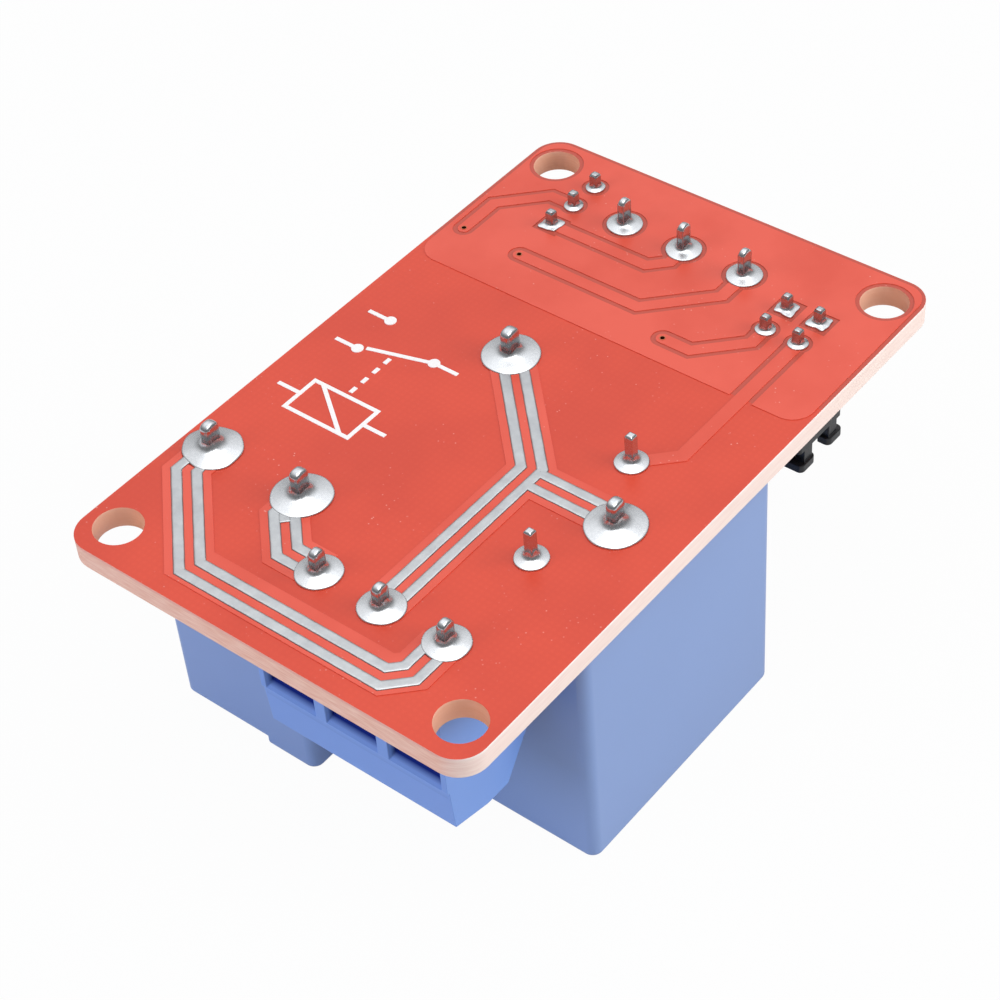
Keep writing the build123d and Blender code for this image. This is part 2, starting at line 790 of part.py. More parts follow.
for name, pin_x, middle_y, facing, poles, pin_width, pin_height in blocks:
    with BuildPart() as housing:
        with BuildSketch(block_plane(pin_x, middle_y, facing)):
            with BuildLine():
                Polyline(
                    (terminal_front, underside),
                    (terminal_front, sill_z),
                    (terminal_front - sill_lip, sill_z - sill_lip),
                    (terminal_front - front_slant, front_low_z),
                    (roof_front, block_roof),
                    (-roof_back, block_roof),
                    (back_bevel - terminal_back, back_slope_z - 1.5 * back_bevel),
                    (-terminal_back, back_slope_z),
                    (-terminal_back, underside),
                    close=True,
                )
            make_face()
        extrude(amount=block_width / 2, both=True)
        for _, y in poles:
            with BuildSketch(Plane.XY.offset(underside)):
                with Locations((pin_x + facing * (pocket_front - pocket_back) / 2, y)):
                    Rectangle(pocket_front + pocket_back, pocket_width)
            extrude(amount=pocket_roof - underside, mode=Mode.SUBTRACT)
            with BuildSketch(entry_plane(pin_x, y, facing, terminal_front)):
                with Locations((0, (window_low + sill_z) / 2)):
                    Rectangle(window_width, window_low - sill_z)
            with BuildSketch(entry_plane(pin_x, y, facing, pocket_front)):
                with Locations((0, (window_low + throat_sill_z) / 2)):
                    Rectangle(throat_width, window_low - throat_sill_z)
            loft(mode=Mode.SUBTRACT)
            screw_place = (pin_x + facing * screw_u, y)
            with BuildSketch(Plane.XY.offset(block_roof)):
                with Locations(screw_place):
                    Circle(head_hole_radius)
            extrude(amount=ledge_z - block_roof, mode=Mode.SUBTRACT)
            with BuildSketch(Plane.XY.offset(ledge_z)):
                with Locations(screw_place):
                    Circle(ledge_hole_radius)
            extrude(amount=pocket_roof - ledge_z, mode=Mode.SUBTRACT)
    housing.part.label = f"{name}_housing"
    export_step(housing.part, f"parts/{name}_housing.step")

    with BuildPart() as current_bars:
        for _, y in poles:
            with BuildSketch(block_plane(pin_x, y, facing)):
                with BuildLine():
                    Polyline(
                        (bar_front, bar_top_z),
                        (-leg_back, bar_top_z),
                        (-leg_back, underside - jog_gap),
                        (terminal_pin_depth / 2, underside - jog_gap),
                        (terminal_pin_depth / 2, underside - jog_gap - leg_thickness),
                        (leg_thickness - leg_back, underside - jog_gap - leg_thickness),
                        (leg_thickness - leg_back, bar_top_z + bar_thickness),
                        (bar_front, bar_top_z + bar_thickness),
                        close=True,
                    )
                make_face()
            extrude(amount=bar_width / 2, both=True)
            with BuildSketch(Plane.XY.offset(underside - jog_gap)):
                with Locations((pin_x, y)):
                    Rectangle(terminal_pin_depth, pin_width)
            extrude(amount=pin_height - underside + jog_gap)
        fillet(current_bars.faces().group_by(Axis.Z)[-1].edges(), terminal_tip_round)
    current_bars.part.label = f"{name}_current_bars"
    export_step(current_bars.part, f"parts/{name}_current_bars.step")

    for number, (_, y) in enumerate(poles, start=1):
        screw_x = pin_x + facing * screw_u
        head_seat = ledge_z - head_clearance
        with BuildPart() as screw:
            with BuildSketch(Plane.XY.offset(head_seat)):
                with Locations((screw_x, y)):
                    Circle(screw_head_radius)
            extrude(amount=-screw_head_height)
            chamfer(screw.faces().sort_by(Axis.Z)[0].edges(), head_chamfer)
            with BuildSketch(Plane.XY.offset(head_seat)):
                with Locations((screw_x, y)):
                    Circle(screw_shank_radius)
            extrude(amount=bar_top_z - jog_gap / 2 - head_seat)
            with BuildSketch(Plane.XY.offset(head_seat - screw_head_height)):
                with Locations((screw_x, y)):
                    Rectangle(2 * screw_head_radius, screw_slot_width)
            extrude(amount=screw_slot_depth, mode=Mode.SUBTRACT)
        screw.part.label = f"{name}_screw_{number}"
        export_step(screw.part, f"parts/{name}_screw_{number}.step")

        with BuildPart() as clamp:
            with BuildSketch(entry_plane(pin_x, y, facing, clamp_front)):
                with Locations((0, (clamp_bottom_z + clamp_top_z) / 2)):
                    Rectangle(clamp_width, clamp_bottom_z - clamp_top_z)
                with Locations((0, (clamp_bottom_z - clamp_floor + clamp_top_z + clamp_bar) / 2)):
                    Rectangle(
                        clamp_width - 2 * clamp_wall,
                        clamp_bottom_z - clamp_floor - clamp_top_z - clamp_bar,
                        mode=Mode.SUBTRACT,
                    )
            extrude(amount=-(clamp_front + clamp_back))
            with BuildSketch(Plane.XY.offset(clamp_top_z)):
                with Locations((screw_x, y)):
                    Circle(screw_shank_radius + thread_clearance)
            extrude(amount=clamp_bar, mode=Mode.SUBTRACT)
        clamp.part.label = f"{name}_clamp_{number}"
        export_step(clamp.part, f"parts/{name}_clamp_{number}.step")

# Pin headers: a row of chamfered cells on square pins
cell_x = pin_pitch / 2
cell_y = header_body_depth / 2
cell_cut = 0.52
header_slot = header_pin_size + 0.06
pin_chamfer = 0.14
header_cell = (
    (cell_x, cell_y - cell_cut), (cell_x - cell_cut, cell_y),
    (cell_cut - cell_x, cell_y), (-cell_x, cell_y - cell_cut),
    (-cell_x, cell_cut - cell_y), (cell_cut - cell_x, -cell_y),
    (cell_x - cell_cut, -cell_y), (cell_x, cell_cut - cell_y),
)
for name, places in headers:
    with BuildPart() as header_body:
        with BuildSketch(Plane.XY.offset(underside)):
            for x, y in places:
                with BuildLine():
                    Polyline(*((x + across, y + along) for across, along in header_cell), close=True)
                make_face()
            with Locations(*places):
                Rectangle(header_slot, header_slot, mode=Mode.SUBTRACT)
        extrude(amount=-header_body_height)
    header_body.part.label = f"{name}_body"
    export_step(header_body.part, f"parts/{name}_body.step")

    with BuildPart() as header_pin_row:
        with BuildSketch(Plane.XY.offset(header_tail)):
            with Locations(*places):
                Rectangle(header_pin_size, header_pin_size)
        extrude(amount=-(header_tail - underside + header_tip_reach))
        chamfer(header_pin_row.faces().filter_by(Axis.Z).edges(), pin_chamfer)
    header_pin_row.part.label = f"{name}_pins"
    export_step(header_pin_row.part, f"parts/{name}_pins.step")

# Jumper caps: an open-ended moulding with two grip feet, and a folded spring clip inside
cap_width = 5.08
cap_depth = 2.45
cap_gap = 0.1
cap_mouth = header_floor - cap_gap
cap_corner = 0.25
foot_corner = 0.4
clip_way = 0.76
cap_shoulder = -8.4
cap_end = -10.05
cap_pocket_width = 4.4
cap_pocket_depth = 1.7
cap_pocket_end = -8.0
neck_inner = 1.0
neck_outer = 2.0
foot_inner = 0.8
foot_start = -9.4
foot_lip = 0.17
channel_inner = 0.7
channel_outer = 1.67
channel_depth = 0.84
clip_thickness = 0.12
clip_half_width = 2.1
clip_web_z = -7.8
clip_route = ((0.52, -4.5), (0.4, -5.6), (0.72, -7.0), (0.72, clip_web_z))
caps = (
    ("select_cap", (select_pins[0][0] + select_pins[1][0]) / 2, select_pins[0][1]),
    ("supply_cap", (supply_pins[0][0] + supply_pins[1][0]) / 2, supply_pins[0][1]),
)
for name, x, y in caps:
    with BuildPart() as cap:
        with BuildSketch(Plane.XY.offset(cap_mouth)):
            with Locations((x, y)):
                RectangleRounded(cap_width, cap_depth, cap_corner)
        extrude(amount=cap_shoulder - cap_mouth)
        for side in (-1, 1):
            with BuildSketch(Plane.XY.offset(cap_shoulder)):
                with Locations((x + side * (neck_inner + neck_outer) / 2, y)):
                    Rectangle(neck_outer - neck_inner, cap_depth)
            extrude(amount=foot_start - cap_shoulder)
            with BuildSketch(Plane.XY.offset(foot_start)):
                with Locations((x + side * (foot_inner + cap_width / 2) / 2, y)):
                    RectangleRounded(cap_width / 2 - foot_inner, cap_depth + 2 * foot_lip, foot_corner)
            extrude(amount=cap_end - foot_start)
        with BuildSketch(Plane.XY.offset(cap_mouth)):
            with Locations((x, y)):
                Rectangle(cap_pocket_width, cap_pocket_depth)
        extrude(amount=cap_pocket_end - cap_mouth, mode=Mode.SUBTRACT)
        for side in (-1, 1):
            with BuildSketch(Plane.XY.offset(cap_pocket_end)):
                with Locations((x + side * (channel_inner + channel_outer) / 2, y)):
                    Rectangle(channel_outer - channel_inner, channel_depth)
            extrude(amount=cap_end - cap_pocket_end, mode=Mode.SUBTRACT)
    cap.part.label = name
    export_step(cap.part, f"parts/{name}.step")

    with BuildPart() as clip:
        with BuildSketch(side_plane(x)):
            with BuildLine():
                right = tuple((y + across, z) for across, z in clip_route)
                left = tuple((y - across, z) for across, z in reversed(clip_route))
                Polyline(*right, *left)
            trace(line_width=clip_thickness)
        extrude(amount=clip_half_width, both=True)
        with BuildSketch(Plane.XY.offset(cap_mouth)):
            with Locations((x - pin_pitch / 2, y), (x + pin_pitch / 2, y)):
                Rectangle(clip_way, clip_way)
        extrude(amount=cap_pocket_end - cap_mouth, mode=Mode.SUBTRACT)
    clip.part.label = f"{name}_clip"
    export_step(clip.part, f"parts/{name}_clip.step")

# Surface-mounted parts on the component side, in the lane between the relay and the input block
lane_x = 11.2
pad_seat = underside - foil_thickness
opto_y = 3.4
opto_width = 4.6
opto_length = 6.4
opto_height = 3.4
opto_standoff = 0.2
opto_draft = 6
opto_lead_pitch = 2.54
opto_lead_reach = 4.9
opto_lead_width = 1.0
opto_lead_thickness = 0.25
opto_foot = 0.95
transistor_x = lane_x - 1.3
transistor_y = driver_via[1] - 3.7
transistor_length = 2.9
transistor_width = 1.3
transistor_height = 1.0
transistor_reach = 1.2
transistor_lead_width = 0.42
transistor_lead_thickness = 0.13
transistor_pitch = 1.9
diode_x = lane_x - 0.6
diode_y = supply_y - 0.48
diode_length = 4.3
diode_width = 2.6
diode_height = 2.1
diode_reach = 2.6
diode_tab_width = 1.45
diode_tab_thickness = 0.2
chip_offset = 2.1
low_chip_drop = 0.7
resistor_1_drop = 0.75
resistor_2_rise = 1.7
resistor_4_drop = 3.2
power_led_rise = 2.6
chip_length = 2.0
chip_width = 1.25
chip_height = 0.55
chip_cap = 0.4
led_height = 0.8
land_length = 1.2
land_width = 1.45
left_chip_x = lane_x - chip_offset
right_chip_x = lane_x + chip_offset
low_chip_y = driver_via[1] - low_chip_drop
resistors = (
    ("resistor_1", left_chip_x, select_via[1] - resistor_1_drop),
    ("resistor_2", left_chip_x, signal_via[1] + resistor_2_rise),
    ("resistor_3", left_chip_x, low_chip_y),
    ("resistor_4", right_chip_x, driver_via[1] - resistor_4_drop),
)
leds = (
    ("power_led", right_chip_x, signal_via[1] + power_led_rise),
    ("status_led", right_chip_x, low_chip_y),
)
chips = tuple((x, y, chip_height) for _, x, y in resistors)
chips += tuple((x, y, led_height) for _, x, y in leds)
land_offset = (chip_length - chip_cap) / 2 + 0.1
opto_foot_y = opto_lead_reach - opto_foot / 2
opto_left_x = lane_x - opto_lead_pitch / 2
opto_right_x = lane_x + opto_lead_pitch / 2
transistor_foot = transistor_reach - 0.2

for name, x, y in resistors:
    with BuildPart() as resistor:
        with BuildSketch(Plane.XY.offset(pad_seat)):
            with Locations((x, y)):
                Rectangle(chip_length - 2 * chip_cap, chip_width)
        extrude(amount=-chip_height)
    resistor.part.label = name
    export_step(resistor.part, f"parts/{name}.step")

for name, x, y in leds:
    with BuildPart() as led:
        with BuildSketch(Plane.XY.offset(pad_seat)):
            with Locations((x, y)):
                Rectangle(chip_length - 2 * chip_cap, chip_width)
        extrude(amount=-led_height)
        fillet(led.faces().sort_by(Axis.Z)[0].edges().filter_by(Axis.Y), 0.25)
    led.part.label = name
    export_step(led.part, f"parts/{name}.step")

with BuildPart() as chip_terminals:
    for x, y, height in chips:
        cap_height = min(height, chip_height)
        with BuildSketch(Plane.XY.offset(pad_seat)):
            with Locations((x - (chip_length - chip_cap) / 2, y), (x + (chip_length - chip_cap) / 2, y)):
                Rectangle(chip_cap, chip_width)
        extrude(amount=-cap_height)
chip_terminals.part.label = "chip_terminals"
export_step(chip_terminals.part, "parts/chip_terminals.step")

# Optocoupler: a drafted body with four gull-wing leads and a pin-one dimple
opto_top = pad_seat - opto_standoff
opto_waist = opto_top - opto_height / 2
with BuildPart() as optocoupler:
    with BuildSketch(Plane.XY.offset(opto_waist)):
        with Locations((lane_x, opto_y)):
            Rectangle(opto_width, opto_length)
    extrude(amount=opto_height / 2, taper=opto_draft)
    with BuildSketch(Plane.XY.offset(opto_waist)):
        with Locations((lane_x, opto_y)):
            Rectangle(opto_width, opto_length)
    extrude(amount=-opto_height / 2, taper=opto_draft)
    with BuildSketch(Plane.XY.offset(opto_top - opto_height)):
        with Locations((lane_x + opto_width / 2 - 1.1, opto_y + opto_length / 2 - 1.2)):
            Circle(0.4)
    extrude(amount=0.15, mode=Mode.SUBTRACT)
optocoupler.part.label = "optocoupler"
export_step(optocoupler.part, "parts/optocoupler.step")

opto_half = opto_length / 2
opto_lead_z = pad_seat - opto_lead_thickness / 2
opto_knee = (opto_half + opto_lead_reach - opto_foot) / 2 + 0.2
with BuildPart() as optocoupler_leads:
    for x in (opto_left_x, opto_right_x):
        for side in (-1, 1):
            with BuildSketch(side_plane(x)):
                with BuildLine():
                    Polyline(
                        (opto_y + side * opto_half, opto_waist),
                        (opto_y + side * opto_knee, opto_waist),
                        (opto_y + side * (opto_lead_reach - opto_foot), opto_lead_z),
                        (opto_y + side * opto_lead_reach, opto_lead_z),
                    )
                trace(line_width=opto_lead_thickness)
            extrude(amount=opto_lead_width / 2, both=True)
optocoupler_leads.part.label = "optocoupler_leads"
export_step(optocoupler_leads.part, "parts/optocoupler_leads.step")

# Driver transistor, with one lead on one side and two on the other
transistor_top = pad_seat - 0.08
transistor_waist = transistor_top - transistor_height / 2
with BuildPart() as transistor:
    with BuildSketch(Plane.XY.offset(transistor_waist)):
        with Locations((transistor_x, transistor_y)):
            Rectangle(transistor_width, transistor_length)
    extrude(amount=transistor_height / 2, taper=opto_draft)
    with BuildSketch(Plane.XY.offset(transistor_waist)):
        with Locations((transistor_x, transistor_y)):
            Rectangle(transistor_width, transistor_length)
    extrude(amount=-transistor_height / 2, taper=opto_draft)
transistor.part.label = "transistor"
export_step(transistor.part, "parts/transistor.step")

transistor_leads_at = ((-1, transistor_pitch / 2), (-1, -transistor_pitch / 2), (1, 0))
transistor_half = transistor_width / 2
transistor_knee = transistor_half + 0.14
transistor_ankle = transistor_half + 0.2
transistor_lead_z = pad_seat - transistor_lead_thickness / 2
with BuildPart() as transistor_leads:
    for side, along in transistor_leads_at:
        with BuildSketch(Plane(origin=(0, transistor_y + along, 0), x_dir=(1, 0, 0), z_dir=(0, -1, 0))):
            with BuildLine():
                Polyline(
                    (transistor_x + side * transistor_half, transistor_waist),
                    (transistor_x + side * transistor_knee, transistor_waist),
                    (transistor_x + side * transistor_ankle, transistor_lead_z),
                    (transistor_x + side * transistor_reach, transistor_lead_z),
                )
            trace(line_width=transistor_lead_thickness)
        extrude(amount=transistor_lead_width / 2, both=True)
transistor_leads.part.label = "transistor_leads"
export_step(transistor_leads.part, "parts/transistor_leads.step")

# Flyback diode across the coil, with tabs folded under its ends
diode_top = pad_seat - diode_tab_thickness - 0.02
diode_waist = diode_top - diode_height / 2
with BuildPart() as diode:
    with BuildSketch(Plane.XY.offset(diode_waist)):
        with Locations((diode_x, diode_y)):
            Rectangle(diode_length, diode_width)
    extrude(amount=diode_height / 2, taper=opto_draft)
    with BuildSketch(Plane.XY.offset(diode_waist)):
        with Locations((diode_x, diode_y)):
            Rectangle(diode_length, diode_width)
    extrude(amount=-diode_height / 2, taper=opto_draft)
diode.part.label = "diode"
export_step(diode.part, "parts/diode.step")

with BuildPart() as diode_tabs:
    for side in (-1, 1):
        with BuildSketch(Plane(origin=(0, diode_y, 0), x_dir=(1, 0, 0), z_dir=(0, -1, 0))):
            with BuildLine():
                Polyline(
                    (diode_x + side * diode_length / 2, diode_waist),
                    (diode_x + side * diode_reach, diode_waist),
                    (diode_x + side * diode_reach, pad_seat - diode_tab_thickness / 2),
                    (diode_x + side * (diode_reach - 1.3), pad_seat - diode_tab_thickness / 2),
                )
            trace(line_width=diode_tab_thickness)
        extrude(amount=diode_tab_width / 2, both=True)
diode_tabs.part.label = "diode_tabs"
export_step(diode_tabs.part, "parts/diode_tabs.step")

# Foil on the component side: a land under each lead and the tracks between them
diode_land_inset = 0.65
diode_land_length = 1.7
diode_land_width = 1.8
transistor_land_length = 0.9
transistor_land_width = 0.8
opto_land_margin = 0.2
short_jog = 1.0
track_jog = 1.5
long_jog = 2.6
via_ring = 0.12
diode_land = diode_reach - diode_land_inset
component_lands = tuple((x + side * land_offset, y) for x, y, _ in chips for side in (-1, 1))
opto_columns = (opto_left_x, opto_right_x)
opto_lands = tuple((x, opto_y + side * opto_foot_y) for x in opto_columns for side in (-1, 1))
transistor_lands = tuple(
    (transistor_x + side * transistor_foot, transistor_y + along) for side, along in transistor_leads_at
)
diode_lands = tuple((diode_x + side * diode_land, diode_y) for side in (-1, 1))
r1_left, r1_right, r2_left, r2_right, r3_left, r3_right = component_lands[:6]
r4_left, r4_right, power_left, power_right, status_left, status_right = component_lands[6:]
component_routes = (
    (select_via, (select_via[0] - track_jog, select_via[1]), r1_right),
    (r1_left, r2_left),
    (r2_right, (opto_left_x, r2_right[1] - track_jog), opto_lands[1]),
    (power_left, r2_right),
    (signal_via, opto_lands[3]),
    (signal_via, (power_right[0], signal_via[1] + track_jog), power_right),
    (opto_lands[0], (r3_left[0], opto_lands[0][1] - track_jog), r3_left),
    (r3_right, (transistor_lands[0][0], r3_right[1] - short_jog), transistor_lands[0]),
    (driver_via, transistor_lands[2]),
    (driver_via, status_left),
    (status_right, r4_right),
    (r4_left, (r4_left[0], r4_left[1] - long_jog), diode_lands[1]),
    (transistor_lands[1], (diode_lands[0][0], transistor_lands[1][1] - short_jog), diode_lands[0]),
)
with BuildPart() as component_foil:
    with BuildSketch(Plane.XY.offset(underside)):
        for route in component_routes:
            with BuildLine():
                Polyline(*route)
            trace(line_width=component_track_width)
        with Locations(*component_lands):
            Rectangle(land_length, land_width)
        with Locations(*opto_lands):
            Rectangle(opto_lead_width + 2 * opto_land_margin, opto_foot + 2 * opto_land_margin)
        with Locations(*transistor_lands):
            Rectangle(transistor_land_length, transistor_land_width)
        with Locations(*diode_lands):
            Rectangle(diode_land_length, diode_land_width)
        with Locations(*vias):
            Circle(component_track_width / 2 + via_ring)
        with Locations(*vias):
            Circle(via_radius, mode=Mode.SUBTRACT)
    extrude(amount=-foil_thickness)
component_foil.part.label = "component_foil"
export_step(component_foil.part, "parts/component_foil.step")
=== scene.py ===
import json
import math

import bmesh
import bpy
import numpy as np
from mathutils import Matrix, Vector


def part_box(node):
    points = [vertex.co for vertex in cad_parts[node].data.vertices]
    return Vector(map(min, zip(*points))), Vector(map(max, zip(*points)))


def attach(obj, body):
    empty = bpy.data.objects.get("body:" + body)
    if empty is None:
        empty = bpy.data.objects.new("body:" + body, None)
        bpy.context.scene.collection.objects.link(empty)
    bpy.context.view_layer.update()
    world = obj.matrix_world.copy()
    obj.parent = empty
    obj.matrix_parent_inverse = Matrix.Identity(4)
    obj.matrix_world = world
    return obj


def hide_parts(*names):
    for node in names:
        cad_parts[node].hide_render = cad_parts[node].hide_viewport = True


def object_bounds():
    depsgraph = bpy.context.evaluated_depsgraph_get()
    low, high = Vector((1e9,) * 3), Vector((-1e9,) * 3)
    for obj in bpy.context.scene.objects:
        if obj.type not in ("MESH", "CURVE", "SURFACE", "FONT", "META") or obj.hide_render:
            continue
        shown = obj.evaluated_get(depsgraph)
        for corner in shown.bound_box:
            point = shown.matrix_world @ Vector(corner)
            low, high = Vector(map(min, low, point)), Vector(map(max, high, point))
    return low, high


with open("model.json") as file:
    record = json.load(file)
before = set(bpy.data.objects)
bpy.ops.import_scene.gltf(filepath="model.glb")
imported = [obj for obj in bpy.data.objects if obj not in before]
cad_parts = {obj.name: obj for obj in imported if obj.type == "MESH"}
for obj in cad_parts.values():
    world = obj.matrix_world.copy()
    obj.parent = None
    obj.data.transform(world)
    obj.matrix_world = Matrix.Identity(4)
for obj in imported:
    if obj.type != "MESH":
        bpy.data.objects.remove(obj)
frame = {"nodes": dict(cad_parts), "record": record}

cad_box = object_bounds()
mm = 0.001

# The camera stands about 16 cm from the middle of the board and looks down on its solder side.
# Its lens is a long one, and it leans a little, as the photographer's did.
lens = bpy.data.cameras.new("photo_camera")
lens.lens = 88.15
lens.clip_start = 10 * mm
camera = bpy.data.objects.new("photo_camera", lens)
camera.location = (-87.71 * mm, -77.00 * mm, 104.91 * mm)
camera.rotation_euler = (math.radians(45.877), math.radians(3.655), math.radians(-51.553))
bpy.context.scene.collection.objects.link(camera)
bpy.context.scene.camera = camera
bpy.context.scene.view_settings.view_transform = "Standard"


# A white studio. The room is white wherever the camera sees it, and soft boxes light the board from above,
# from the relay's plain side and from behind. What the metal mirrors is a white ceiling that falls off
# quickly towards the walls, so each joint is bright on one half and grey on the other.
def linear(hex_code):
    """Turn an sRGB hex colour into the linear colour that a shader takes."""
    channels = np.array([int(hex_code[at:at + 2], 16) for at in (1, 3, 5)]) / 255
    toe = channels / 12.92
    curve = ((channels + 0.055) / 1.055) ** 2.4
    return (*np.where(channels <= 0.04045, toe, curve), 1.0)


def fill(tree, node, sockets):
    """Fill a node's sockets with values or with other nodes' outputs."""
    for name, value in sockets.items():
        if isinstance(value, bpy.types.NodeSocket):
            tree.links.new(value, node.inputs[name])
        else:
            node.inputs[name].default_value = value


def add_node(tree, kind, sockets=None, **settings):
    """Add one node to a tree, set its properties and fill its sockets."""
    node = tree.nodes.new(kind)
    for name, value in settings.items():
        setattr(node, name, value)
    fill(tree, node, sockets or {})
    return node


room_white, pure_white = "#F6F8FB", "#FFFFFF"
ceiling_towards, ceiling_start, ceiling_power = (0.30, 0.28, 0.91), -0.2, 4.0
ceiling_glow, wall_glow, ambient_glow = 1.35, 0.2, 0.44
room = bpy.data.worlds.new("white_room")
room.use_nodes = True
tree = room.node_tree
tree.nodes.clear()
rays = add_node(tree, "ShaderNodeLightPath")
heading = add_node(tree, "ShaderNodeTexCoord").outputs["Generated"]
above = add_node(tree, "ShaderNodeVectorMath", {0: heading, 1: ceiling_towards}, operation="DOT_PRODUCT")
climb = add_node(tree, "ShaderNodeMapRange", {"Value": above.outputs["Value"], "From Min": ceiling_start})
falloff = add_node(tree, "ShaderNodeMath", {0: climb.outputs[0], 1: ceiling_power}, operation="POWER")
ceiling = add_node(tree, "ShaderNodeMath", {0: falloff.outputs[0], 1: ceiling_glow, 2: wall_glow},
                   operation="MULTIPLY_ADD")
mirrored = add_node(tree, "ShaderNodeBackground",
                    {"Color": linear(room_white), "Strength": ceiling.outputs[0]})
ambient = add_node(tree, "ShaderNodeBackground", {"Color": linear(room_white), "Strength": ambient_glow})
white_light = add_node(tree, "ShaderNodeBackground", {"Color": linear(pure_white), "Strength": 1.0})
seen = add_node(tree, "ShaderNodeMath", {0: rays.outputs["Is Camera Ray"],
                                         1: rays.outputs["Is Transmission Ray"]}, operation="MAXIMUM")
unseen_light = add_node(tree, "ShaderNodeMixShader",
                        {0: rays.outputs["Is Glossy Ray"], 1: ambient.outputs[0], 2: mirrored.outputs[0]})
room_light = add_node(tree, "ShaderNodeMixShader",
                      {0: seen.outputs[0], 1: unseen_light.outputs[0], 2: white_light.outputs[0]})
add_node(tree, "ShaderNodeOutputWorld", {"Surface": room_light.outputs[0]})
bpy.context.scene.world = room

soft_boxes = (
    ("top_box", (-30, -60, 430), 420, 0.95, "#FFFFFF", True),
    ("side_box", (170, -340, 150), 300, 1.14, "#FFFFFF", False),
    ("rim_box", (-330, 190, 160), 260, 0.86, "#D5E2FF", False),
)
for name, place, size, power, colour, mirrored_too in soft_boxes:
    lamp = bpy.data.lights.new(name, "AREA")
    lamp.size = size * mm
    lamp.energy = power
    lamp.color = linear(colour)[:3]
    box = bpy.data.objects.new(name, lamp)
    box.visible_glossy = mirrored_too
    across, along, up = -np.array(place) * mm
    box.location = np.array(place) * mm
    box.rotation_euler = (math.acos(-up / math.sqrt(across ** 2 + along ** 2 + up ** 2)), 0,
                          math.atan2(along, across) - math.pi / 2)
    bpy.context.scene.collection.objects.link(box)

# The floor is matt paper just under the relay, and the camera sees it as white. It glows faintly, so that the
# face that stands on it isn't lost in the dark. From below it is clear, as a glass table is, so that the
# component side can be looked at too.
floor_reach, floor_gap, white_share, paper_glow = 900 * mm, 0.02 * mm, 0.96, 0.2
floor_z = float(cad_box[0][2]) - floor_gap
floor_mesh = bpy.data.meshes.new("studio_floor")
floor_mesh.from_pydata([(-floor_reach, -floor_reach, floor_z), (floor_reach, -floor_reach, floor_z),
                        (floor_reach, floor_reach, floor_z), (-floor_reach, floor_reach, floor_z)],
                       [], [(0, 1, 2, 3)])
floor = bpy.data.objects.new("studio_floor", floor_mesh)
bpy.context.scene.collection.objects.link(floor)
paper = bpy.data.materials.new("white_paper_sweep")
paper.use_nodes = True
tree = paper.node_tree
tree.nodes.clear()
camera_ray = add_node(tree, "ShaderNodeLightPath").outputs["Is Camera Ray"]
matt_paper = add_node(tree, "ShaderNodeBsdfDiffuse", {"Color": linear("#B8B8B8")})
glow = add_node(tree, "ShaderNodeEmission", {"Color": linear(pure_white), "Strength": paper_glow})
lit_paper = add_node(tree, "ShaderNodeAddShader", {0: matt_paper.outputs[0], 1: glow.outputs[0]})
bright_paper = add_node(tree, "ShaderNodeEmission", {"Color": linear(pure_white), "Strength": 1.0})
overexposed = add_node(tree, "ShaderNodeMath", {0: camera_ray, 1: white_share}, operation="MULTIPLY")
upper_side = add_node(tree, "ShaderNodeMixShader",
                      {0: overexposed.outputs[0], 1: lit_paper.outputs[0], 2: bright_paper.outputs[0]})
clear = add_node(tree, "ShaderNodeBsdfTransparent")
underside = add_node(tree, "ShaderNodeNewGeometry").outputs["Backfacing"]
both_sides = add_node(tree, "ShaderNodeMixShader",
                      {0: underside, 1: upper_side.outputs[0], 2: clear.outputs[0]})
add_node(tree, "ShaderNodeOutputMaterial", {"Surface": both_sides.outputs[0]})
floor_mesh.materials.append(paper)


# The board is woven glass and epoxy, 1.6 mm thick, with a red mask on both faces and bare routed edges.
# The edge shows its pale layers; the holes' walls and the pour's gaps get painted shade.
def begin_material(name):
    """Start a material, and return it, its node tree, its Principled shader and the place on the piece."""
    material = bpy.data.materials.new(name)
    material.use_nodes = True
    tree = material.node_tree
    where = add_node(tree, "ShaderNodeTexCoord").outputs["Object"]
    return material, tree, tree.nodes["Principled BSDF"], where


def tint(tree, shader, amount, hex_code):
    """Mix the colour that reaches a shader towards another one, by an amount between 0 and 1."""
    colour = shader.inputs["Base Color"]
    mix = add_node(tree, "ShaderNodeMix", {"Factor": amount, 6: colour.links[0].from_socket,
                                           7: linear(hex_code)}, data_type="RGBA")
    tree.links.new(mix.outputs[2], colour)


def flux_specks(tree, where):
    """Sparse dots of dried flux: the cores of small cells, kept only where a slow noise is high."""
    cell_size, patch_size, densest = 0.5 * mm, 5.0 * mm, 0.42
    cells = add_node(tree, "ShaderNodeTexVoronoi", {"Vector": where, "Scale": 1 / cell_size})
    core = add_node(tree, "ShaderNodeMapRange", {"Value": cells.outputs["Distance"], "From Min": 0.06,
                                                 "From Max": 0.13, "To Min": 1.0, "To Max": 0.0})
    drift = add_node(tree, "ShaderNodeTexNoise", {"Vector": where, "Scale": 1 / patch_size, "Detail": 4.0})
    kept = add_node(tree, "ShaderNodeMapRange", {"Value": drift.outputs["Fac"], "From Min": 0.5,
                                                 "From Max": 0.66, "To Max": densest})
    return add_node(tree, "ShaderNodeMath", {0: core.outputs[0], 1: kept.outputs[0]},
                    operation="MULTIPLY").outputs[0]


def dress(piece, material):
    """Give every material slot of a piece the same finish."""
    if not piece.material_slots:
        piece.data.materials.append(material)
    for slot in piece.material_slots:
        slot.material = material


body_of = {node: body for body, nodes in frame["record"]["behaviour"]["bodies"].items() for node in nodes}
weld_distance, flat_angle, sharp_angle = 1e-7, math.radians(0.5), math.radians(28)


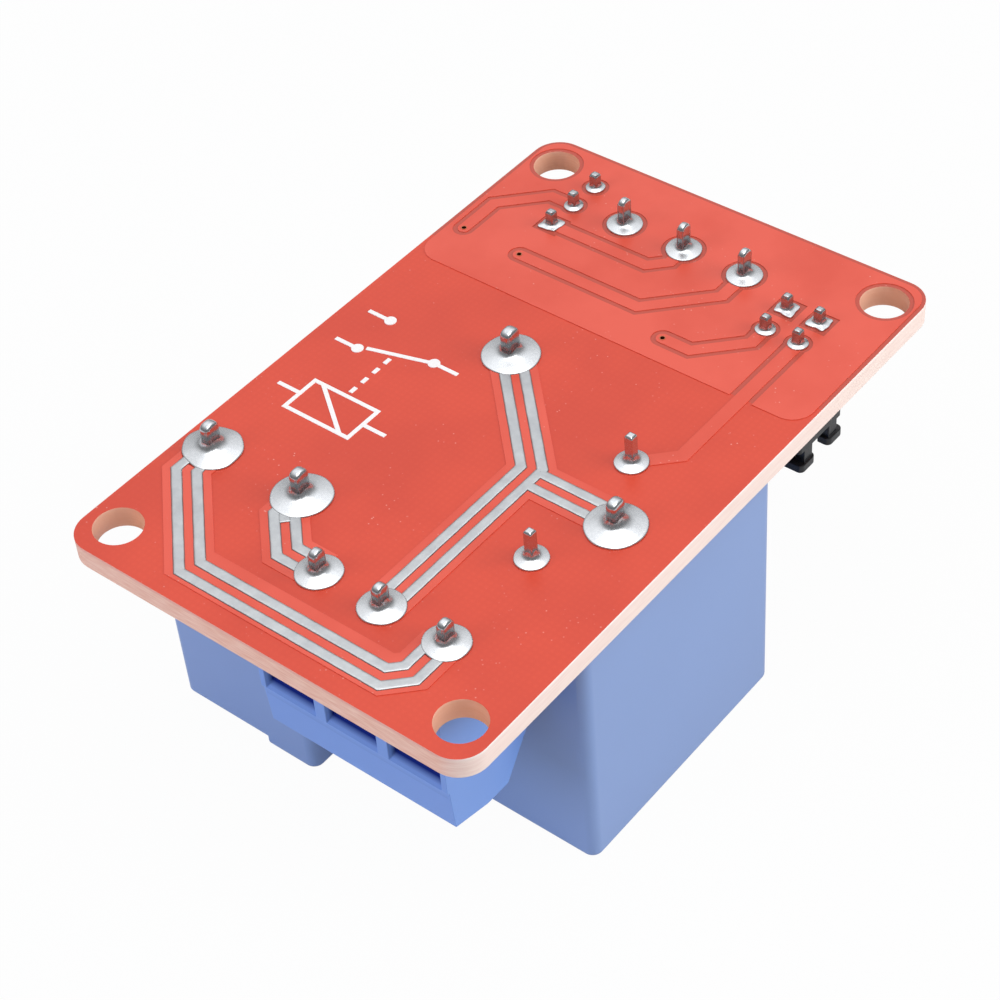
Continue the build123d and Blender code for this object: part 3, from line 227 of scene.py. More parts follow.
def soften(node, ending, width, segments=2):
    """Weld a copy of a CAD node and round its sharp edges by the given width, in place of the node."""
    shape = bmesh.new()
    shape.from_mesh(frame["nodes"][node].data)
    bmesh.ops.remove_doubles(shape, verts=shape.verts, dist=weld_distance)
    bmesh.ops.dissolve_limit(shape, angle_limit=flat_angle, verts=shape.verts, edges=shape.edges)
    for face in shape.faces:
        face.smooth = True
    mesh = bpy.data.meshes.new(f"{node}_{ending}")
    shape.to_mesh(mesh)
    shape.free()
    if "custom_normal" in mesh.attributes:
        mesh.attributes.remove(mesh.attributes["custom_normal"])
    piece = bpy.data.objects.new(f"{node}_{ending}", mesh)
    bpy.context.scene.collection.objects.link(piece)
    rounding = piece.modifiers.new("edge_rounding", "BEVEL")
    rounding.width = width * mm
    rounding.segments = segments
    rounding.limit_method = "ANGLE"
    rounding.angle_limit = sharp_angle
    rounding.harden_normals = True
    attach(piece, body_of[node])
    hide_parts(node)
    return piece


laminate, tree, shader, where = begin_material("glass_epoxy_laminate_with_red_mask")
place = add_node(tree, "ShaderNodeSeparateXYZ", {"Vector": where})
facing = add_node(tree, "ShaderNodeSeparateXYZ",
                  {"Vector": add_node(tree, "ShaderNodeNewGeometry").outputs["Normal"]})
upright = add_node(tree, "ShaderNodeMath", {0: facing.outputs["Z"]}, operation="ABSOLUTE")
level_limit = 0.6
on_face = add_node(tree, "ShaderNodeMath", {0: upright.outputs[0], 1: level_limit}, operation="GREATER_THAN")

# The cloth's crossing threads show faintly through the mask, and the mask's own red is cloudy.
unit_wave = 0.314        # metres from crest to crest of a wave texture at scale 1
thread_pitch, cloud_size, cloud_share = 0.45 * mm, 9.0 * mm, 0.4
cloth_x, cloth_y = (add_node(tree, "ShaderNodeTexWave", {"Vector": where, "Scale": unit_wave / thread_pitch,
                                                         "Distortion": 1.0}, bands_direction=direction)
                    for direction in ("X", "Y"))
cloth = add_node(tree, "ShaderNodeMath", {0: cloth_x.outputs["Fac"], 1: cloth_y.outputs["Fac"]},
                 operation="MULTIPLY")
woven_red = add_node(tree, "ShaderNodeMix", {"Factor": cloth.outputs[0], 6: linear("#D3452D"),
                                             7: linear("#D6482F")}, data_type="RGBA")
clouds = add_node(tree, "ShaderNodeTexNoise", {"Vector": where, "Scale": 1 / cloud_size, "Detail": 4.0})
cloud = add_node(tree, "ShaderNodeMapRange", {"Value": clouds.outputs["Fac"], "From Min": 0.4,
                                              "From Max": 0.62, "To Max": cloud_share})
mask_red = add_node(tree, "ShaderNodeMix", {"Factor": cloud.outputs[0], 6: woven_red.outputs[2],
                                            7: linear("#BE3723")}, data_type="RGBA")

# Past this X lies the signal side's pour, with its corners cut off. In its gaps the mask gets painted shade.
pour_edge, corner_start, corner_run, corner_depth = 9.1 * mm, 14.2 * mm, 1.6 * mm, 2.0 * mm
from_middle = add_node(tree, "ShaderNodeMath", {0: place.outputs["Y"]}, operation="ABSOLUTE")
setback = add_node(tree, "ShaderNodeMapRange", {"Value": from_middle.outputs[0], "From Min": corner_start,
                                                "From Max": corner_start + corner_run,
                                                "To Max": corner_depth})
past_edge = add_node(tree, "ShaderNodeMath", {0: place.outputs["X"], 1: setback.outputs[0]},
                     operation="SUBTRACT")
in_pour = add_node(tree, "ShaderNodeMath", {0: past_edge.outputs[0], 1: pour_edge}, operation="GREATER_THAN")
# Painted shade: the mask in the pour's gaps and margin is darker.
mask_tone = add_node(tree, "ShaderNodeMix", {"Factor": in_pour.outputs[0], 6: mask_red.outputs[2],
                                             7: linear("#BA4B3A")}, data_type="RGBA")

# The edge shows the plies as streaks. The saw left the -Y side paler, and the other sides' rims are reddish.
ply_length, ply_thickness, sawn_share = 1.4 * mm, 0.12 * mm, 0.55
rim_start, rim_full, rim_share = -0.3 * mm, -0.1 * mm, 0.7
plies = add_node(tree, "ShaderNodeMapping",
                 {"Vector": where, "Scale": (1 / ply_length, 1 / ply_length, 1 / ply_thickness)})
layers = add_node(tree, "ShaderNodeTexNoise", {"Vector": plies.outputs[0], "Scale": 1.0, "Detail": 3.0})
streaks = add_node(tree, "ShaderNodeMapRange", {"Value": layers.outputs["Fac"], "From Min": 0.3,
                                                "From Max": 0.7})
ply_tone = add_node(tree, "ShaderNodeMix", {"Factor": streaks.outputs[0], 6: linear("#E2A891"),
                                            7: linear("#F1C6B1")}, data_type="RGBA")
sawn_side = add_node(tree, "ShaderNodeMath", {0: facing.outputs["Y"], 1: -1.0}, operation="MULTIPLY",
                     use_clamp=True)
paler = add_node(tree, "ShaderNodeMath", {0: sawn_side.outputs[0], 1: sawn_share}, operation="MULTIPLY")
edge_tone = add_node(tree, "ShaderNodeMix", {"Factor": paler.outputs[0], 6: ply_tone.outputs[2],
                                             7: linear("#F0EDEA")}, data_type="RGBA")
rim = add_node(tree, "ShaderNodeMapRange", {"Value": place.outputs["Z"], "From Min": rim_start,
                                            "From Max": rim_full, "To Max": rim_share})
smeared = add_node(tree, "ShaderNodeMix", {"Factor": sawn_side.outputs[0], 6: linear("#E0998A"),
                                           7: linear("#F6EFE9")}, data_type="RGBA")
rim_tone = add_node(tree, "ShaderNodeMix", {"Factor": rim.outputs[0], 6: edge_tone.outputs[2],
                                            7: smeared.outputs[2]}, data_type="RGBA")

# The holes lie alike in the four quarters, so one place and the coordinates without their signs find them.
hole_place, hole_reach, hole_shade_share = (22.3 * mm, 13.7 * mm, 0), 1.8 * mm, 0.7
quarter = add_node(tree, "ShaderNodeVectorMath", {0: where}, operation="ABSOLUTE")
flat = add_node(tree, "ShaderNodeVectorMath", {0: quarter.outputs[0], 1: (1, 1, 0)}, operation="MULTIPLY")
to_hole = add_node(tree, "ShaderNodeVectorMath", {0: flat.outputs[0], 1: hole_place}, operation="DISTANCE")
in_hole = add_node(tree, "ShaderNodeMath", {0: to_hole.outputs["Value"], 1: hole_reach},
                   operation="LESS_THAN")
# Painted shade: the walls of the four holes are tinted a darker tan.
hole_shade = add_node(tree, "ShaderNodeMath", {0: in_hole.outputs[0], 1: hole_shade_share}, operation="MULTIPLY")
wall_tone = add_node(tree, "ShaderNodeMix", {"Factor": hole_shade.outputs[0], 6: rim_tone.outputs[2],
                                             7: linear("#DF9669")}, data_type="RGBA")

mask_index, mask_roughness, edge_roughness, fibre_size = 1.52, 0.34, 0.75, 0.25 * mm
tone = add_node(tree, "ShaderNodeMix", {"Factor": on_face.outputs[0], 6: wall_tone.outputs[2],
                                        7: mask_tone.outputs[2]}, data_type="RGBA")
gloss = add_node(tree, "ShaderNodeMapRange", {"Value": on_face.outputs[0], "To Min": edge_roughness,
                                              "To Max": mask_roughness})
fibres = add_node(tree, "ShaderNodeTexNoise", {"Vector": where, "Scale": 1 / fibre_size, "Detail": 4.0})
grain = add_node(tree, "ShaderNodeBump", {"Height": fibres.outputs["Fac"], "Strength": 0.25,
                                          "Distance": 0.01 * mm})
fill(tree, shader, {"Base Color": tone.outputs[2], "Roughness": gloss.outputs[0],
                    "Normal": grain.outputs[0], "IOR": mask_index})
flux_white = "#F6CFC4"
specks = add_node(tree, "ShaderNodeMath", {0: flux_specks(tree, where), 1: on_face.outputs[0]},
                  operation="MULTIPLY")
tint(tree, shader, specks.outputs[0], flux_white)
dress(soften("circuit_board", "laminate", 0.06), laminate)

# Copper foil lies on the glass under the same mask, which turns it a brighter and warmer red.
# Its edges are etched, so the mask rolls over them, and the foil's own grain shows faintly through.
copper_mask, tree, shader, where = begin_material("copper_foil_under_red_mask")
cloud_size, grain_size = 7.0 * mm, 0.12 * mm
clouds = add_node(tree, "ShaderNodeTexNoise", {"Vector": where, "Scale": 1 / cloud_size, "Detail": 4.0})
speck = add_node(tree, "ShaderNodeTexNoise", {"Vector": where, "Scale": 1 / grain_size, "Detail": 3.0})
cloud = add_node(tree, "ShaderNodeMapRange", {"Value": clouds.outputs["Fac"], "From Min": 0.36,
                                              "From Max": 0.6})
red = add_node(tree, "ShaderNodeMix", {"Factor": cloud.outputs[0], 6: linear("#D64D38"),
                                       7: linear("#DF5743")}, data_type="RGBA")
grain = add_node(tree, "ShaderNodeBump", {"Height": speck.outputs["Fac"], "Strength": 0.3,
                                          "Distance": 0.008 * mm})
fill(tree, shader, {"Base Color": red.outputs[2], "Roughness": 0.32, "Normal": grain.outputs[0],
                    "IOR": mask_index})
tint(tree, shader, flux_specks(tree, where), flux_white)
for node in ("copper_foil", "component_foil"):
    dress(soften(node, "masked", 0.02, 1), copper_mask)


# The mask leaves two bare stripes over each load track, and the solder bath tinned them.
# The tin stands as a low arched ridge, satin grey and faintly mottled, with edges as crisp as the mask's.
def skin(name, stacks, smooth=True, hollow=False):
    """Skin stacks of closed rings, each an array (ring, point, 3), with a fan to the centre at both ends.

    A hollow stack has no fans: its last ring is joined to its first."""
    points, triangles, quads, base = [], [], [], 0
    for rings in stacks:
        count, around = rings.shape[:2]
        index = base + np.arange(count * around).reshape(count, around)
        here, there = (index, np.roll(index, -1, 0)) if hollow else (index[:-1], index[1:])
        quads.append(np.stack([here, np.roll(here, -1, 1), np.roll(there, -1, 1), there], -1).reshape(-1, 4))
        points.append(rings.reshape(-1, 3))
        base += count * around
        if not hollow:
            triangles.append(np.stack([np.roll(index[0], -1), index[0], np.full(around, base)], -1))
            triangles.append(np.stack([index[-1], np.roll(index[-1], -1), np.full(around, base + 1)], -1))
            points.append(rings[[0, -1]].mean(axis=1))
            base += 2
    faces = [face for kind in (quads, triangles) if kind for face in np.concatenate(kind).tolist()]
    mesh = bpy.data.meshes.new(name)
    mesh.from_pydata((np.concatenate(points) * mm).tolist(), [], faces)
    shape = bmesh.new()
    shape.from_mesh(mesh)
    bmesh.ops.recalc_face_normals(shape, faces=shape.faces)
    for face in shape.faces:
        face.smooth = smooth
    shape.to_mesh(mesh)
    shape.free()
    piece = bpy.data.objects.new(name, mesh)
    bpy.context.scene.collection.objects.link(piece)
    return piece


def mitres(points):
    """Headings, sideways vectors and mitres of a route.

    At a bend the mitre is the two sideways vectors' sum over one plus their product."""
    heading = np.diff(points, axis=0)
    heading /= np.linalg.norm(heading, axis=1, keepdims=True)
    side = np.stack([-heading[:, 1], heading[:, 0]], -1)
    before, after = np.concatenate([side[:1], side]), np.concatenate([side, side[-1:]])
    return heading, side, (before + after) / (1 + np.sum(before * after, axis=1, keepdims=True))


foil_top, ridge_root, ridge_step, bend_room = 0.05, -0.02, 0.2, 0.12


def tin_ridge(route, shift, half_width, crown, seed):
    """Rings of one ridge along a route that is moved sideways by the shift.

    Across, its height is the crown times (1 - u^6) to the power 0.6, with u from -1 to 1 edge to edge.
    Along, its width and crown swell by the sum of two sine waves of the distance walked."""
    points = np.array(route, float)
    points = points + mitres(points)[2] * shift
    heading, side, mitre = mitres(points)
    places, sides = [points[:1]], [mitre[:1]]
    for n, run in enumerate(np.linalg.norm(np.diff(points, axis=0), axis=1)):
        along = np.linspace(bend_room, run - bend_room, max(2, int(run / ridge_step)))[:, None]
        places += [points[n] + heading[n] * along, points[n + 1:n + 2]]
        sides += [np.repeat(side[n:n + 1], len(along), 0), mitre[n + 1:n + 2]]
    places, sides = np.concatenate(places), np.concatenate(sides)
    walked = np.concatenate([[0], np.cumsum(np.linalg.norm(np.diff(places, axis=0), axis=1))])[:, None]
    swell = 1 + 0.012 * np.sin(2.1 * walked + seed) + 0.01 * np.sin(5.7 * walked + 2 * seed)
    top = np.linspace(-1, 1, 13)
    across = np.concatenate([top, [0.9, -0.9]])
    arch = crown * (1 - top ** 6) ** 0.6
    height = np.concatenate([arch, [ridge_root, ridge_root]]) * (2 - swell) + foil_top
    offset = across * half_width * swell
    spots = places[:, None, :] + sides[:, None, :] * offset[..., None]
    return np.concatenate([spots, height[..., None]], -1)


tin, tree, shader, where = begin_material("hot_dipped_tin")
mottle_size, grain_size = 1.2 * mm, 0.15 * mm
mottle = add_node(tree, "ShaderNodeTexNoise", {"Vector": where, "Scale": 1 / mottle_size, "Detail": 7.0,
                                               "Roughness": 0.65})
grain = add_node(tree, "ShaderNodeTexNoise", {"Vector": where, "Scale": 1 / grain_size, "Detail": 3.0})
pale = add_node(tree, "ShaderNodeMapRange", {"Value": mottle.outputs["Fac"], "From Min": 0.35,
                                             "From Max": 0.65})
tone = add_node(tree, "ShaderNodeMix", {"Factor": pale.outputs[0], 6: linear("#B7B9BB"),
                                        7: linear("#C9CBCC")}, data_type="RGBA")
frost = add_node(tree, "ShaderNodeMapRange", {"Value": mottle.outputs["Fac"], "To Min": 0.3, "To Max": 0.55})
waves = add_node(tree, "ShaderNodeBump", {"Height": grain.outputs["Fac"], "Strength": 0.5,
                                          "Distance": 0.015 * mm})
fill(tree, shader, {"Base Color": tone.outputs[2], "Metallic": 1.0, "Roughness": frost.outputs[0],
                    "Normal": waves.outputs[0]})

side_common, rear_common = (4.14, 3.54), (-4.76, -11.6)
no_pin, nc_pin = (-13.76, 6.04), (-13.76, 13.66)
output_places = ((-18.14, 0.74), (-18.14, -4.26), (-18.14, -9.26))
rails = (
    (nc_pin, (-16.21, 13.66), (-22.35, 7.52), (-22.35, -7.91), (-21.2, -9.06), (-18.14, -9.06)),
    ((-13.76, 5.84), (-15.61, 5.84), (-17.95, 3.5), (-17.95, 0.74)),
    ((-18.14, -4.26), (-3.66, -4.26), side_common),
    ((-4.38, -4.9), (-4.38, -11.6)),
)
bridge = ((-15.3, 5.84), (-15.61, 5.84), (-16.15, 5.3))
stripe_shift, stripe_half, bridge_half, stripe_crown = 0.645, 0.38, 0.4, 0.06
ridges = [tin_ridge(rail, side * stripe_shift, stripe_half, stripe_crown, 1.9 * n + side)
          for n, rail in enumerate(rails) for side in (-1, 1)]
ridges.append(tin_ridge(bridge, 0, bridge_half, stripe_crown, 4.0))
piece = skin("tinned_ridges", ridges)
dress(piece, tin)
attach(piece, "board")
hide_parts("tinned_stripes")


# Each pin stands in a joint of wave solder: a thin round foot on its pad, hollowing up to the pin's four
# sides. The metal froze quickly, so it is bright, with soft dents and fine crystals, and no two joints are
# quite alike.
def circle(points):
    """Angles of a ring's points, once round."""
    return np.linspace(0, 2 * math.pi, points + 1)[:-1]


def squared(angle, half_x, half_y, power):
    """Radius at each angle of a rounded rectangle: a superellipse of the given half sizes."""
    return (np.abs(np.cos(angle) / half_x) ** power + np.abs(np.sin(angle) / half_y) ** power) ** (-1 / power)


pin_power, pad_power = 3.4, 9
joint_lip, joint_overlap, neck_start, neck_run = 0.12, 0.02, 0.7, 0.3


def solder_joint(place, pad, pin, height, seed, ragged=0.012, square=False):
    """Rings of one joint. With c from 0 at the foot to 1 at the neck, the radius shrinks evenly.

    The height rises as 0.32 c + 0.68 c^8. The neck is round until c is 0.7, then takes the pin's section.
    Sine waves round the foot make it ragged, and the top leans by a wave of the same seed."""
    angle = circle(64)
    climb = np.linspace(0, 1, 29)[1:, None]
    waves = (np.sin(2 * angle + seed) + 0.7 * np.sin(3 * angle + 1.7 * seed)
             + 0.4 * np.sin(7 * angle + 3 * seed))
    foot = (squared(angle, pad, pad, pad_power) if square else pad) * (1 + ragged * waves)
    section = squared(angle, pin[0] / 2 - joint_overlap, pin[1] / 2 - joint_overlap, pin_power)
    share = np.clip((climb - neck_start) / neck_run, 0, 1)
    neck = section.mean() * (1 - share) + section * share
    lean = 1 + 0.08 * np.sin(angle + 2.3 * seed) * climb
    radius = foot * (1 - climb) + neck * climb
    rise = joint_lip + (height - joint_lip) * (0.32 * climb + 0.68 * climb ** 8) * lean
    radius = np.concatenate([np.stack([foot, foot * 1.005, foot * 0.995]), radius])
    foot_rise = np.array([[0.0], [joint_lip * 0.5], [joint_lip * 0.9]]) * np.ones_like(angle)
    rise = np.concatenate([foot_rise, rise])
    return np.stack([place[0] + radius * np.cos(angle), place[1] + radius * np.sin(angle), rise], -1)


def frozen_metal(name, dark, bright, frost):
    """Solder: fine crystals drift between two greys and two degrees of frost, over shallow dents."""
    material, tree, shader, where = begin_material(name)
    dent_size, crystal_size, frost_range = 0.9 * mm, 0.12 * mm, 0.1
    dents = add_node(tree, "ShaderNodeTexNoise", {"Vector": where, "Scale": 1 / dent_size, "Detail": 2.0})
    crystals = add_node(tree, "ShaderNodeTexNoise", {"Vector": where, "Scale": 1 / crystal_size,
                                                     "Detail": 4.0})
    dull = add_node(tree, "ShaderNodeMapRange", {"Value": crystals.outputs["Fac"],
                                                 "To Min": frost - frost_range,
                                                 "To Max": frost + frost_range})
    grey = add_node(tree, "ShaderNodeMix", {"Factor": crystals.outputs["Fac"], 6: linear(dark),
                                            7: linear(bright)}, data_type="RGBA")
    grainy = add_node(tree, "ShaderNodeBump", {"Height": crystals.outputs["Fac"], "Strength": 0.13,
                                               "Distance": 0.012 * mm})
    dented = add_node(tree, "ShaderNodeBump", {"Height": dents.outputs["Fac"], "Strength": 0.15,
                                               "Distance": 0.1 * mm, "Normal": grainy.outputs[0]})
    fill(tree, shader, {"Base Color": grey.outputs[2], "Metallic": 1.0, "Roughness": dull.outputs[0],
                        "Normal": dented.outputs[0]})
    return material


solder = frozen_metal("wave_solder", "#CBCDD0", "#EDEEEF", 0.27)
load_pin, coil_pin, header_pin = (1.0, 0.65), (0.62, 0.62), (0.64, 0.64)
output_pin, input_pin = (0.9, 0.6), (0.9, 0.5)
load_places = (side_common, rear_common, no_pin, nc_pin)
coil_places = ((-9.84, -9.06), (0.32, -9.06))
input_places = ((19.44, 5.54), (19.44, 0.54), (19.44, -4.46))
square_places = ((16.61, 9.77), (18.09, -11.32), (18.09, -8.78))
round_places = ((19.15, 9.77), (21.69, 9.77), (15.55, -11.32), (15.55, -8.78))
load_pad, coil_pad, output_pad, input_pad, header_pad = 2.02, 1.13, 1.53, 1.28, 0.7
load_rises, load_seeds = (1.2, 1.25, 1.25, 1.4), (0.4, 1.9, 2.7, 5.2)
load_ragged = (0.012, 0.012, 0.012, 0.03)
coil_rise, output_rise, input_rise, round_rise, square_rise = 0.85, 1.05, 0.8, 0.6, 0.5
round_ragged, square_ragged = 0.02, 0.06
groups = {
    "relay_solder": [
        *(solder_joint(place, load_pad, load_pin, rise, seed, ragged)
          for place, rise, seed, ragged in zip(load_places, load_rises, load_seeds, load_ragged)),
        *(solder_joint(place, coil_pad, coil_pin, coil_rise, n + 7.0) for n, place in enumerate(coil_places)),
    ],
    "output_solder": [solder_joint(place, output_pad, output_pin, output_rise, 1.3 * n + 2.6)
                      for n, place in enumerate(output_places)],
    "input_solder": [solder_joint(place, input_pad, input_pin, input_rise, n + 5.1)
                     for n, place in enumerate(input_places)],
    "header_solder": [
        *(solder_joint(place, header_pad, header_pin, round_rise, n + 1.3, round_ragged)
          for n, place in enumerate(round_places)),
        *(solder_joint(place, header_pad, header_pin, square_rise, n + 3.3, square_ragged, square=True)
          for n, place in enumerate(square_places)),
    ],
}
for node, joints in groups.items():
    piece = skin(f"{node}_joints", joints)
    dress(piece, solder)
    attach(piece, "board")
    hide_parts(node)


# Solder drew up the wide pins, so each stands in a coat whose top is domed like a drop.
# The coil pins are square wire, cut flat, with only their edges rounded by the tin.
def coated_pin(place, pin, top, coat, dome):
    """Rings of one coat: a superellipse round the pin, then the dome.

    Over the dome's height its length shrinks as a quarter of an ellipse, and its width as the square root of
    that, so that a flat blade keeps its thickness up to the tip."""
    angle = circle(48)
    turn = np.linspace(0, math.pi / 2, 13)[:, None]
    start, blunt = 0.2, 0.02
    shrink = np.concatenate([np.ones((2, 1)), np.cos(turn[1:]) * (1 - blunt) + blunt])
    rise = np.concatenate([[[start]], top - dome + dome * np.sin(turn)])
    radius = squared(angle, (pin[0] / 2 + coat) * shrink, (pin[1] / 2 + coat) * np.sqrt(shrink), pin_power)
    return np.stack([place[0] + radius * np.cos(angle), place[1] + radius * np.sin(angle),
                     rise * np.ones_like(angle)], -1)


# The pins' solder is a darker copy of the joints': its greys are painted shade for the dark surroundings they
# mirror.
drawn_tin = frozen_metal("solder_drawn_up_the_pins", "#C2C4C7", "#E4E6E8", 0.2)
load_top, output_top, input_top = 2.26, 1.96, 2.26
load_coats, output_coat, input_coat = (0.14, 0.1, 0.1, 0.1), 0.06, 0.05
wide_dome, narrow_dome = 0.42, 0.45
coats = [
    *(coated_pin(place, load_pin, load_top, coat, wide_dome) for place, coat in zip(load_places, load_coats)),
    *(coated_pin(place, output_pin, output_top, output_coat, wide_dome) for place in output_places),
    *(coated_pin(place, input_pin, input_top, input_coat, narrow_dome) for place in input_places),
]
piece = skin("tinned_pin_tips", coats)
dress(piece, drawn_tin)
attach(piece, "board")
dress(soften("coil_pin_pair", "tinned", 0.07), drawn_tin)


# Three plated holes carry signals through the board. Each is a thin copper barrel, open down its middle.
# On this side the mask leaves only a fine ring of it bare.
def barrel(place, bore, wall, low, high):
    """Rings of one tube: the foot's inner and outer edge, then the mouth's outer and inner edge."""
    angle = circle(24)
    radius = np.array([bore, bore + wall, bore + wall, bore])[:, None]
    rise = np.array([low, low, high, high])[:, None] * np.ones_like(angle)
    return np.stack([place[0] + radius * np.cos(angle), place[1] + radius * np.sin(angle), rise], -1)


via_places = ((12.9, 14.64), (12.72, 9.6), (11.05, -3.7))
thickness, via_bore, via_wall, foot_proud, mouth_proud = 1.6, 0.16, 0.05, 0.06, 0.07
via_barrels = skin("via_barrels", [barrel(place, via_bore, via_wall, -thickness - foot_proud, mouth_proud)
                                   for place in via_places], smooth=False, hollow=True)
copper, tree, shader, where = begin_material("bare_copper_plating")
tarnish = add_node(tree, "ShaderNodeTexNoise", {"Vector": where, "Scale": 1 / (0.3 * mm)})
shade = add_node(tree, "ShaderNodeMix", {"Factor": tarnish.outputs["Fac"], 6: linear("#B86A48"),
                                         7: linear("#D98C68")}, data_type="RGBA")
fill(tree, shader, {"Base Color": shade.outputs[2], "Metallic": 1.0, "Roughness": 0.35})
dress(via_barrels, copper)
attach(via_barrels, "board")


# White ink on the bare part of the solder side: the usual drawing of a relay's changeover contact.
# It is screen printed, so it lies a few hundredths of a millimetre proud. The strokes differ in height by
# two thousandths, so that none lies in the plane of another.
def ink_line(points, width, high):
    """Rings of one printed line: a flat rectangle carried along the points, mitred at its bends."""
    route = np.array(points, float)
    mitre = mitres(route)[2]
    corners = [(1, 0.0), (1, high), (-1, high), (-1, 0.0)]
    return np.stack([np.concatenate([route + mitre * side * width / 2, np.full((len(route), 1), z)], 1)
                     for side, z in corners], 1)


def ink_dot(place, radius, high):
    """Rings of one printed dot: a low disc."""
    angle = circle(32)
    rise = np.array([[0.0], [high]]) * np.ones_like(angle)
    spread = radius * np.ones_like(rise)
    return np.stack([place[0] + spread * np.cos(angle), place[1] + spread * np.sin(angle), rise], -1)


ink_width, dot_radius, ink_height, ink_step = 0.3, 0.42, 0.03, 0.002
coil_x, link_y, lead = -6.6, 9.9, 1.9
half_x, half_y = 1.5, 2.7
box_left, box_right, box_low, box_high = coil_x - half_x, coil_x + half_x, link_y - half_y, link_y + half_y
pivot, rest, other = (0.6, 7.2), (-1.1, 12.4), (2.3, 12.4)
lines = [
    ((box_left, link_y), (box_left, box_high), (box_right, box_high), (box_right, box_low),
     (box_left, box_low), (box_left, link_y)),
    ((box_left, box_low + 0.7), (box_right, box_high - 0.7)),
    ((coil_x, box_high), (coil_x, box_high + lead)),
    ((coil_x, box_low), (coil_x, box_low - lead)),
    ((pivot[0], pivot[1] - 2.0), pivot),
    (pivot, (rest[0] + 0.35, rest[1] - 0.5)),
    (rest, (rest[0], rest[1] + lead)),
    (other, (other[0], other[1] + lead)),
]
dashes = np.linspace(box_right + 0.4, pivot[0] - 1.3, 8)
lines += [((dashes[n], link_y), (dashes[n + 1], link_y)) for n in (0, 2, 4, 6)]
strokes = [ink_line(points, ink_width, ink_height + ink_step * n) for n, points in enumerate(lines)]
strokes += [ink_dot(spot, dot_radius, ink_height + ink_step * n)
            for n, spot in enumerate((pivot, rest, other), start=len(lines))]
symbol = skin("printed_symbol", strokes, smooth=False)
ink, tree, shader, where = begin_material("white_screen_ink")
mesh_marks = add_node(tree, "ShaderNodeTexNoise", {"Vector": where, "Scale": 1 / (0.15 * mm), "Detail": 2.0})
white = add_node(tree, "ShaderNodeMix", {"Factor": mesh_marks.outputs["Fac"], 6: linear("#E9E4E0"),
                                         7: linear("#FBF8F5")}, data_type="RGBA")
fill(tree, shader, {"Base Color": white.outputs[2], "Roughness": 0.6})
dress(symbol, ink)
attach(symbol, "board")


# The relay's case is moulded in one piece from glass-filled polyester, in a slightly greyed blue.
# It is satin, with the faint flow marks of the mould, and its edges are only just broken.
def moulded_plastic(name, deep, light, roughness, mark_size):
    """A moulded plastic: two near tones that drift with the flow of the melt, and a very fine skin."""
    material, tree, shader, where = begin_material(name)
    pore_size, plastic_index = 0.08 * mm, 1.54
    flow = add_node(tree, "ShaderNodeTexNoise", {"Vector": where, "Scale": 1 / (mark_size * mm),
                                                 "Detail": 3.0})
    pores = add_node(tree, "ShaderNodeTexNoise", {"Vector": where, "Scale": 1 / pore_size, "Detail": 2.0})
    tone = add_node(tree, "ShaderNodeMix", {"Factor": flow.outputs["Fac"], 6: linear(deep),
                                            7: linear(light)}, data_type="RGBA")
    surface = add_node(tree, "ShaderNodeBump", {"Height": pores.outputs["Fac"], "Strength": 0.2,
                                                "Distance": 0.01 * mm})
    sheen = add_node(tree, "ShaderNodeMapRange", {"Value": flow.outputs["Fac"], "To Min": roughness - 0.05,
                                                  "To Max": roughness + 0.05})
    fill(tree, shader, {"Base Color": tone.outputs[2], "Roughness": sheen.outputs[0],
                        "Normal": surface.outputs[0], "IOR": plastic_index})
    return material


case_blue = moulded_plastic("glass_filled_polyester_blue", "#7B94C5", "#8099CA", 0.3, 9.0)
dress(soften("relay_case", "moulding", 0.1), case_blue)
base_blue = moulded_plastic("glass_filled_polyester_dark_blue", "#31477E", "#374E88", 0.5, 6.0)
dress(frame["nodes"]["relay_base"], base_blue)

# Inside the case the coil is wound on a white bobbin, and everything magnetic is plated soft iron.
# The moving contact is silver alloy, and its spring and the two fixed contacts are bronze strip. None of it
# shows while the case is on.
bobbin_white = moulded_plastic("nylon_natural", "#D8D4C6", "#E4E0D4", 0.45, 5.0)
dress(frame["nodes"]["coil_bobbin"], bobbin_white)

wire, tree, shader, where = begin_material("enamelled_copper_wire")
wire_pitch = 0.16 * mm
turns = add_node(tree, "ShaderNodeTexWave", {"Vector": where, "Scale": unit_wave / wire_pitch,
                                             "Distortion": 0.4}, bands_direction="Y")
tone = add_node(tree, "ShaderNodeMix", {"Factor": turns.outputs["Fac"], 6: linear("#6E2F17"),
                                        7: linear("#C0683A")}, data_type="RGBA")
ridges = add_node(tree, "ShaderNodeBump", {"Height": turns.outputs["Fac"], "Strength": 0.8,
                                           "Distance": 0.05 * mm})
fill(tree, shader, {"Base Color": tone.outputs[2], "Metallic": 0.6, "Roughness": 0.3,
                    "Normal": ridges.outputs[0]})
dress(frame["nodes"]["coil_winding"], wire)


def rolled_metal(name, dark, bright, roughness, grain_size):
    """A rolled or plated metal: two near tones along a stretched grain, with the polish drifting a little."""
    material, tree, shader, where = begin_material(name)
    stretched = add_node(tree, "ShaderNodeMapping", {"Vector": where, "Scale": (0.25, 1.0, 1.0)})
    grain = add_node(tree, "ShaderNodeTexNoise", {"Vector": stretched.outputs[0],
                                                  "Scale": 1 / (grain_size * mm), "Detail": 4.0})
    tone = add_node(tree, "ShaderNodeMix", {"Factor": grain.outputs["Fac"], 6: linear(dark),
                                            7: linear(bright)}, data_type="RGBA")
    polish = add_node(tree, "ShaderNodeMapRange", {"Value": grain.outputs["Fac"],
                                                   "To Min": roughness - 0.07,
                                                   "To Max": roughness + 0.07})
    marks = add_node(tree, "ShaderNodeBump", {"Height": grain.outputs["Fac"], "Strength": 0.15,
                                              "Distance": 0.01 * mm})
    fill(tree, shader, {"Base Color": tone.outputs[2], "Metallic": 1.0, "Roughness": polish.outputs[0],
                        "Normal": marks.outputs[0]})
    return material


